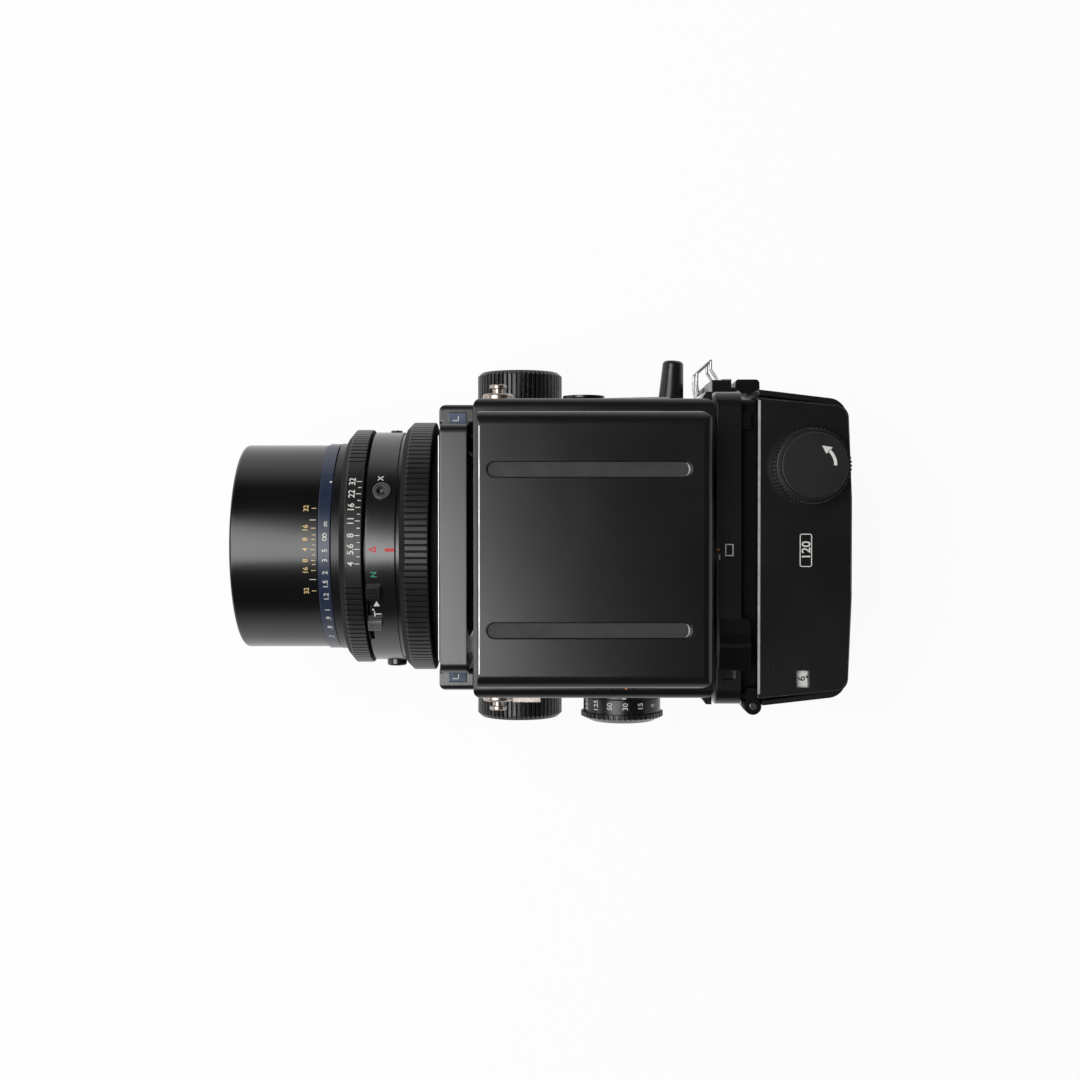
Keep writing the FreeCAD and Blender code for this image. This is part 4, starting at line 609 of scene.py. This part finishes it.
pointer = polygon_shape([(-1.1, -1.15), (1.2, 0), (-1.1, 1.15)])
open_pointer = hollow([(-1.25, -1.5), (1.25, -1.5), (0, 1.7)], [(-0.55, -0.9), (0.55, -0.9), (0, 0.5)])
add_marks("aperture_index", [(open_pointer, seen_at(INDEX_PX, R_REAR, -81.9)),
                             (rect_shape(1.2, 3.5), seen_at(INDEX_LINE_PX, R_REAR, -75.4))],
          red_fill, "standard")
add_marks("normal_mark", [(glyphs("N", 2.2), seen_at(NORMAL_PX, R_REAR, -81.5))],
          green_fill, "standard")
add_marks("barrel_marks", [(pointer, on_barrel(POINTER_PX, 27)), (glyphs("T", 2.8), on_barrel(TIME_PX, 30)),
                           (disc_shape(0.42), on_barrel(TIME_DOT_PX, 31)),
                           (glyphs("X", 2.2), on_barrel(FLASH_PX, -36))],
          white_fill, "standard")

# Black ring round the mouth of the flash socket: painted shade of a groove
SOCKET_ANGLE, SOCKET_Y, SOCKET_TOP = math.radians(-27.7), -78.8, 46.42


def on_socket(u, v, h):
    c = math.cos(SOCKET_ANGLE)
    s = math.sin(SOCKET_ANGLE)
    return (SOCKET_TOP * s + u * c + h * s, SOCKET_Y + v, AXIS_Z + SOCKET_TOP * c - u * s + h * c)


add_marks("socket_shade_ring", [(ring_shape(2.75, 2.4), on_socket)], ink, "standard")

# Speed dial numbers round its drum, and their index on the collar
R_DIAL, R_COLLAR = 15.0, 15.6
DIAL_Y, DIAL_Z = 12.5, 72.0
NUMBERS_X, INDEX_X = 61.0, 57.3
SPEEDS = ("400", "250", "125", "60", "30", "15", "8", "4", "2", "1", "2", "4", "8", "B")
SPEED_STEP, SPEED_LEAN, TOP_SPEED = 23.4, 1.6, 4


def dial_text(degrees, x):
    """Numbers on the drum read from behind, with their tops towards the front."""
    def to_world(u, v, h):
        a = math.radians(degrees) - v / R_DIAL
        r = R_DIAL + h
        return (x - u, DIAL_Y + r * math.sin(a), DIAL_Z + r * math.cos(a))
    return to_world


def collar_mark(u, v, h):
    a = v / R_COLLAR
    return (INDEX_X - u, DIAL_Y - (R_COLLAR + h) * math.sin(a), DIAL_Z + (R_COLLAR + h) * math.cos(a))


entries = [(glyphs(text, 2.1), dial_text(SPEED_LEAN + (k - TOP_SPEED) * SPEED_STEP, NUMBERS_X))
           for k, text in enumerate(SPEEDS)]
add_marks("dial_numbers", entries, white_fill, "speed_dial")
add_marks("dial_index", [(rect_shape(1.6, 1.5), collar_mark)], white_fill, "camera_body")

# Marks on the deck, the adapter and the back: dots, index line, frame icon, film size and wind arrow
DECK_TOP = 109.0
ADAPTER_TOP = AXIS_Z + 49.0
PLATE_TOP = AXIS_Z + 50.0


def frame_shape(w, h, line, r=0.0):
    """Rectangular frame, with round corners where r is given."""
    def corners(a, b, rad):
        if rad <= 0:
            return [(-a, -b), (a, -b), (a, b), (-a, b)]
        pts = []
        for cx, cy, start in ((a - rad, -b + rad, -90), (a - rad, b - rad, 0), (-a + rad, b - rad, 90),
                              (-a + rad, -b + rad, 180)):
            pts += arc(cx, cy, rad, start, 22.5, 5)
        return pts
    inner_r = r - line if r > line else 0.0
    return hollow(corners(w / 2, h / 2, r), corners(w / 2 - line, h / 2 - line, inner_r))


def from_top(r, degrees):
    a = math.radians(degrees)
    return (-r * math.sin(a), r * math.cos(a))


add_marks("deck_dot", [(disc_shape(0.45), on_top(51.4, 11.9, DECK_TOP))], orange_fill, "camera_body")
add_marks("adapter_dot", [(disc_shape(0.5), on_top(0.4, 46.1, ADAPTER_TOP))], orange_fill, "back")
add_marks("adapter_line", [(rect_shape(2.0, 0.35), on_top(3.3, 46.5, ADAPTER_TOP))], white_fill, "back")
add_marks("frame_icon", [(frame_shape(4.5, 3.1, 0.4), on_top(0.6, 50.1, ADAPTER_TOP))], white_fill, "back")
on_plate = on_top(0.7, 78.1, PLATE_TOP)
add_marks("film_size", [(frame_shape(12.2, 4.5, 0.32, 0.9), on_plate), (glyphs("120", 3.2), on_plate)],
          white_fill, "back")
on_knob = on_top(-30.1, 79.2, 119.0, 180)
arrow_line = band([from_top(7.9, k * 6.0) for k in range(9)], [from_top(6.8, k * 6.0) for k in range(9)])
arrow_head = polygon_shape([from_top(9.0, 46), from_top(7.5, 71), from_top(5.7, 46)])
add_marks("wind_arrow", [(arrow_line, on_knob), (arrow_head, on_knob)],
          white_fill, "takeup")

# Painted highlights on the front edge and rim of the magazine's top plate
add_marks("plate_front_edge", [(rect_shape(108.0, 0.9), on_top(-0.4, 60.9, PLATE_TOP))], plate_edge_highlight, "back")
RIM_X, RIM_CORNER_X, RIM_CORNER_Y, RIM_R = 55.2, 47.3, 88.7, 5.1


def ribbon(points, width):
    """Narrow strip along a line: its outer side on the points, its inner side towards the plate's centre."""
    inner = []
    for k, (x, y) in enumerate(points):
        ax, ay = points[max(0, k - 1)]
        bx, by = points[min(len(points) - 1, k + 1)]
        d = math.hypot(bx - ax, by - ay)
        inner.append((x + (ay - by) / d * width, y + (bx - ax) / d * width))
    return band(list(points), inner)


rim = [(RIM_X, 61.2), (RIM_X - 0.05, 61.6)]
rim += arc(RIM_CORNER_X, RIM_CORNER_Y, RIM_R, 4, 10, 9)
rim += [(18.0, 94.9), (-18.0, 94.9)]
rim += arc(-RIM_CORNER_X, RIM_CORNER_Y, RIM_R, 96, 10, 9)
rim += [(-RIM_X + 0.05, 61.6), (-RIM_X, 61.2)]
rim_strip = ribbon([(-x, -y) for x, y in rim], 0.28)
add_marks("plate_rim", [(rim_strip, on_top(0, 0, PLATE_TOP))], rim_shine, "back")

# Frame counter: a white disc with its numbers, the shown frame in the window
COUNTER_X, COUNTER_Y, COUNTER_R = 43.0, 77.0, 5.2
FRAMES, SHOWN_FRAME = 10, 6
counter_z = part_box("counter_dial")[1].z / MM
add_marks("counter_face", [(disc_shape(9.2, 48), on_top(COUNTER_X, COUNTER_Y, counter_z))], white_fill,
          "counter")
entries = []
for k in range(FRAMES):
    turned = k * 360.0 / FRAMES
    t = math.radians(turned)
    number = str((SHOWN_FRAME + k - 1) % FRAMES + 1)
    x, y = COUNTER_X + COUNTER_R * math.cos(t), COUNTER_Y + COUNTER_R * math.sin(t)
    entries.append((glyphs(number, 2.7), on_top(x, y, counter_z + FILL, math.degrees(t))))
add_marks("counter_numbers", entries, ink, "counter")

# Matt inserts in the lid's two grooves, with a painted highlight at their rear ends
GROOVE_X, GROOVE_Y, GROOVE_END_Y, GROOVE_R = 28.2, -2.35, 30.5, 2.6


def stadium(half_w, half_l, n=10):
    """Long shape with round ends."""
    pts = []
    for side in (1, -1):
        for k in range(n + 1):
            a = math.pi * (k / n) - (math.pi / 2)
            pts.append((-side * half_w * math.sin(a), side * (half_l - half_w + half_w * math.cos(a))))
    return polygon_shape(pts)


def crescent():
    """Painted highlight: a thin bright edge round one end of a groove, thickest in its middle."""
    outer, inner = [], []
    for k in range(-70, 71, 10):
        a = math.radians(k)
        outer.append((GROOVE_R * math.sin(a), -GROOVE_R * math.cos(a)))
        inner.append((2.45 * math.sin(a), -GROOVE_R * math.cos(a) + 0.6 * math.cos(math.radians(k * 1.28))))
    return band(outer, inner)


lid_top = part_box("finder_lid")[1].z / MM
groove = lid_top - 0.8
inserts = [(stadium(2.62, 35.6), on_top(s * GROOVE_X, GROOVE_Y, groove)) for s in (-1, 1)]
crescents = [(crescent(), on_top(s * GROOVE_X, GROOVE_END_Y, groove + 0.1)) for s in (-1, 1)]
add_marks("groove_inserts", inserts, groove_insert, "lid")
add_marks("groove_end_highlights", crescents, painted_edge_shine, "lid")

# Painted highlights on the front edges of the lid and the standard
standard_low, standard_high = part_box("front_standard")
add_marks("lid_front_edge", [(rect_shape(87.0, 0.4), on_top(0, -40.85, lid_top))], painted_edge_shine, "lid")
add_marks("standard_front_edge",
          [(rect_shape(83.0, 0.3), on_top(0, standard_low.y / MM + 0.75, standard_high.z / MM))],
          painted_edge_shine, "standard")

# Scale plates on the standard's wings
WING_X, WING_Y, WING_TOP = 48.7, -50.7, 92.4
plates, plate_marks = [], []
for s in (-1, 1):
    plates.append((rect_shape(3.8, 6.2), on_top(s * WING_X, WING_Y, WING_TOP)))
    plate_marks.append((rect_shape(0.35, 2.2), on_top(s * WING_X + 0.8, WING_Y - 0.7, WING_TOP + FILL)))
    plate_marks.append((rect_shape(1.8, 0.35), on_top(s * WING_X + 0.1, WING_Y + 0.3, WING_TOP + FILL)))
add_marks("wing_plates", plates, blue_plate, "standard")
add_marks("wing_plate_marks", plate_marks, white_fill, "standard")


# Repeating forms by Geometry Nodes
def geometry_tree(name, sizes):
    """A node tree with named inputs for its sizes."""
    tree = bpy.data.node_groups.new(name, "GeometryNodeTree")
    tree.interface.new_socket("Geometry", in_out="OUTPUT", socket_type="NodeSocketGeometry")
    for key, kind, value in sizes:
        s = tree.interface.new_socket(key, in_out="INPUT", socket_type=kind)
        s.default_value = value
    return tree, tree.nodes.new("NodeGroupInput"), tree.nodes.new("NodeGroupOutput")


def run_tree(tree, name, body):
    """Turns a tree's result into the plain mesh of one piece."""
    mesh = bpy.data.meshes.new(name)
    obj = bpy.data.objects.new(name, mesh)
    bpy.context.scene.collection.objects.link(obj)
    mod = obj.modifiers.new("shape", "NODES")
    mod.node_group = tree
    bpy.context.view_layer.update()
    result = bpy.data.meshes.new_from_object(obj.evaluated_get(bpy.context.evaluated_depsgraph_get()))
    obj.modifiers.clear()
    obj.data = result
    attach(obj, body)
    return obj


def ring_thread(name, turns, radius, pitch, depth, y, mat, body):
    """Fine grooves inside a threaded rim: small rings repeated along the lens axis."""
    sizes = [("Radius", "NodeSocketFloat", radius * MM), ("Depth", "NodeSocketFloat", depth * MM),
             ("Pitch", "NodeSocketFloat", pitch * MM), ("Turns", "NodeSocketInt", turns)]
    tree, given, out = geometry_tree(name, sizes)
    link = tree.links.new
    ring = tree.nodes.new("GeometryNodeCurvePrimitiveCircle")
    ring.inputs["Resolution"].default_value = 180
    link(given.outputs["Radius"], ring.inputs["Radius"])
    wire = tree.nodes.new("GeometryNodeCurvePrimitiveCircle")
    wire.inputs["Resolution"].default_value = 6
    link(given.outputs["Depth"], wire.inputs["Radius"])
    sweep = tree.nodes.new("GeometryNodeCurveToMesh")
    link(ring.outputs["Curve"], sweep.inputs["Curve"])
    link(wire.outputs["Curve"], sweep.inputs["Profile Curve"])
    line = tree.nodes.new("GeometryNodeMeshLine")
    link(given.outputs["Turns"], line.inputs["Count"])
    step = tree.nodes.new("ShaderNodeCombineXYZ")
    link(given.outputs["Pitch"], step.inputs["Z"])
    link(step.outputs[0], line.inputs["Offset"])
    rings = tree.nodes.new("GeometryNodeInstanceOnPoints")
    link(line.outputs[0], rings.inputs["Points"])
    link(sweep.outputs[0], rings.inputs["Instance"])
    real = tree.nodes.new("GeometryNodeRealizeInstances")
    link(rings.outputs[0], real.inputs[0])
    turn = tree.nodes.new("GeometryNodeTransform")
    turn.inputs["Rotation"].default_value = (-math.pi / 2, 0, 0)
    turn.inputs["Translation"].default_value = (0, y * MM, AXIS_Z * MM)
    link(real.outputs[0], turn.inputs[0])
    paint = tree.nodes.new("GeometryNodeSetMaterial")
    paint.inputs["Material"].default_value = mat
    link(turn.outputs[0], paint.inputs[0])
    link(paint.outputs[0], out.inputs[0])
    return run_tree(tree, name, body)


ring_thread("filter_thread_grooves", turns=5, radius=38.5, pitch=0.75, depth=0.17, y=-135.3,
            mat=finishes["semigloss_black"], body="standard")


# Bellows with its pleats, in cloth, between the body and the standard
def pleat_outline(h, y):
    """Square with cut corners that reaches h to each side of the lens axis, at a place along it."""
    c = h * 0.16
    corners = ((-h + c, -h), (h - c, -h), (h, -h + c), (h, h - c), (h - c, h), (-h + c, h), (-h, h - c),
               (-h, -h + c))
    return [(x, y, AXIS_Z + z) for x, z in corners]


def build_bellows():
    """Outer and inner pleated walls, joined at both ends."""
    half, depth, wall, steps = 34.5, 4.5, 1.6, 12
    front, rear = -52.95, -38.05
    verts = []
    for offset in (0.0, wall):
        for k in range(steps + 1):
            folded_in = depth if k % 2 == 0 else 0.0
            verts += pleat_outline(half - offset - folded_in - 0.05, front + (rear - front) * k / steps)
    faces = []
    inner = steps + 1

    def quad(r0, r1, k, flip):
        a = (r0 * 8 + k, r0 * 8 + (k + 1) % 8, r1 * 8 + (k + 1) % 8, r1 * 8 + k)
        return a[::-1] if flip else a
    for k in range(8):
        for r in range(steps):
            faces.append(quad(r, r + 1, k, False))
            faces.append(quad(inner + r, inner + r + 1, k, True))
        faces.append(quad(0, inner, k, True))
        faces.append(quad(steps, inner + steps, k, False))
    mesh = bpy.data.meshes.new("bellows_cloth")
    mesh.from_pydata([tuple(c * MM for c in v) for v in verts], [], faces)
    outward(mesh)
    mesh.materials.append(finishes["bellows_cloth"])
    obj = bpy.data.objects.new("bellows_cloth", mesh)
    bpy.context.scene.collection.objects.link(obj)
    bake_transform(obj)
    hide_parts("bellows")


build_bellows()


# Studio: pale floor, soft lamps and the camera over the object, in metres
def paper(name, shade):
    """White paper that greys softly far from the object; camera, metal and glass see its plain white."""
    f = Finish(name)
    path = f.tree.nodes.new("ShaderNodeLightPath")
    seen = f.math("MAXIMUM", path.outputs["Is Camera Ray"], path.outputs["Is Glossy Ray"])
    seen = f.math("MAXIMUM", seen, path.outputs["Is Transmission Ray"])
    f.colour(f.noise(3.0), (shade, shade, shade), (shade * 0.99, shade * 0.99, shade * 0.99))
    f.put(Roughness=0.9, Specular_IOR_Level=0.1)
    glow = f.tree.nodes.new("ShaderNodeEmission")
    f.link(f.spread(f.length(f.coords), 0.4, 1.6, 1.0, 0.7), glow.inputs["Strength"])
    mix = f.tree.nodes.new("ShaderNodeMixShader")
    f.link(f.math("MULTIPLY", seen, 0.94), mix.inputs[0])
    f.link(f.shader.outputs[0], mix.inputs[1])
    f.link(glow.outputs[0], mix.inputs[2])
    f.link(mix.outputs[0], f.out.inputs["Surface"])
    return f.mat


bm = bmesh.new()
bmesh.ops.create_grid(bm, x_segments=2, y_segments=2, size=4.0)
floor_mesh = bpy.data.meshes.new("floor")
bm.to_mesh(floor_mesh)
bm.free()
floor = bpy.data.objects.new("floor", floor_mesh)
floor.location = (0, 0, -0.0004)
floor_mesh.materials.append(paper("white paper", 0.86))
bpy.context.scene.collection.objects.link(floor)

# The room is brighter towards the horizon, by the height of the direction
world = bpy.data.worlds.new("studio")
bpy.context.scene.world = world
world.use_nodes = True
wt = world.node_tree
sky = wt.nodes["Background"]
sky.inputs["Color"].default_value = (1.0, 0.995, 0.99, 1)
way = wt.nodes.new("ShaderNodeTexCoord")
split = wt.nodes.new("ShaderNodeSeparateXYZ")
wt.links.new(way.outputs["Generated"], split.inputs[0])
fall = wt.nodes.new("ShaderNodeMapRange")
for key, v in (("From Min", 0.03), ("From Max", 0.3), ("To Min", 0.7), ("To Max", 0.06)):
    fall.inputs[key].default_value = v
wt.links.new(split.outputs["Z"], fall.inputs["Value"])
wt.links.new(fall.outputs[0], sky.inputs["Strength"])


def lamp(name, stand, aim, size, watts):
    """Rectangular lamp that looks from its stand at its aim."""
    data = bpy.data.lights.new(name, "AREA")
    data.shape = "RECTANGLE"
    data.size, data.size_y = size
    data.energy = watts
    obj = bpy.data.objects.new(name, data)
    obj.location = stand
    obj.rotation_mode = "QUATERNION"
    obj.rotation_quaternion = (Vector(aim) - Vector(stand)).to_track_quat("-Z", "Y")
    bpy.context.scene.collection.objects.link(obj)
    return obj


# The softbox hangs level, in front of the lens, and is turned by 25 degrees
softbox = lamp("overhead softbox", (-0.146, -0.94, 1.75), (-0.146, -0.94, 0), (1.6, 1.3), 39.0)
softbox.rotation_mode = "XYZ"
softbox.rotation_euler = (0, 0, math.radians(25))
lamp("front strip", (0, -1.7, 0.5), (0, 0, 0.06), (1.2, 0.35), 3.0)
lamp("side fill", (-1.5, 0.5, 0.35), (0, 0, 0.06), (0.5, 1.2), 1.6)
lamp("rear fill", (0.5, 1.6, 0.5), (0, 0, 0.06), (1.2, 0.5), 1.0)

cam_data = bpy.data.cameras.new("camera")
cam_data.sensor_width = 36.0
cam_data.lens = cam_data.sensor_width * FOCAL_PX / PICTURE_WIDTH
cam_data.clip_start = 0.01
cam_data.clip_end = 20.0
camera = bpy.data.objects.new("camera", cam_data)
camera.location = (CAMERA_X * MM, CAMERA_Y * MM, CAMERA_Z * MM)
camera.rotation_euler = (math.radians(CAMERA_ROLL), 0, math.pi / 2)
bpy.context.scene.collection.objects.link(camera)
bpy.context.scene.camera = camera
bpy.context.scene.view_settings.view_transform = "Standard"
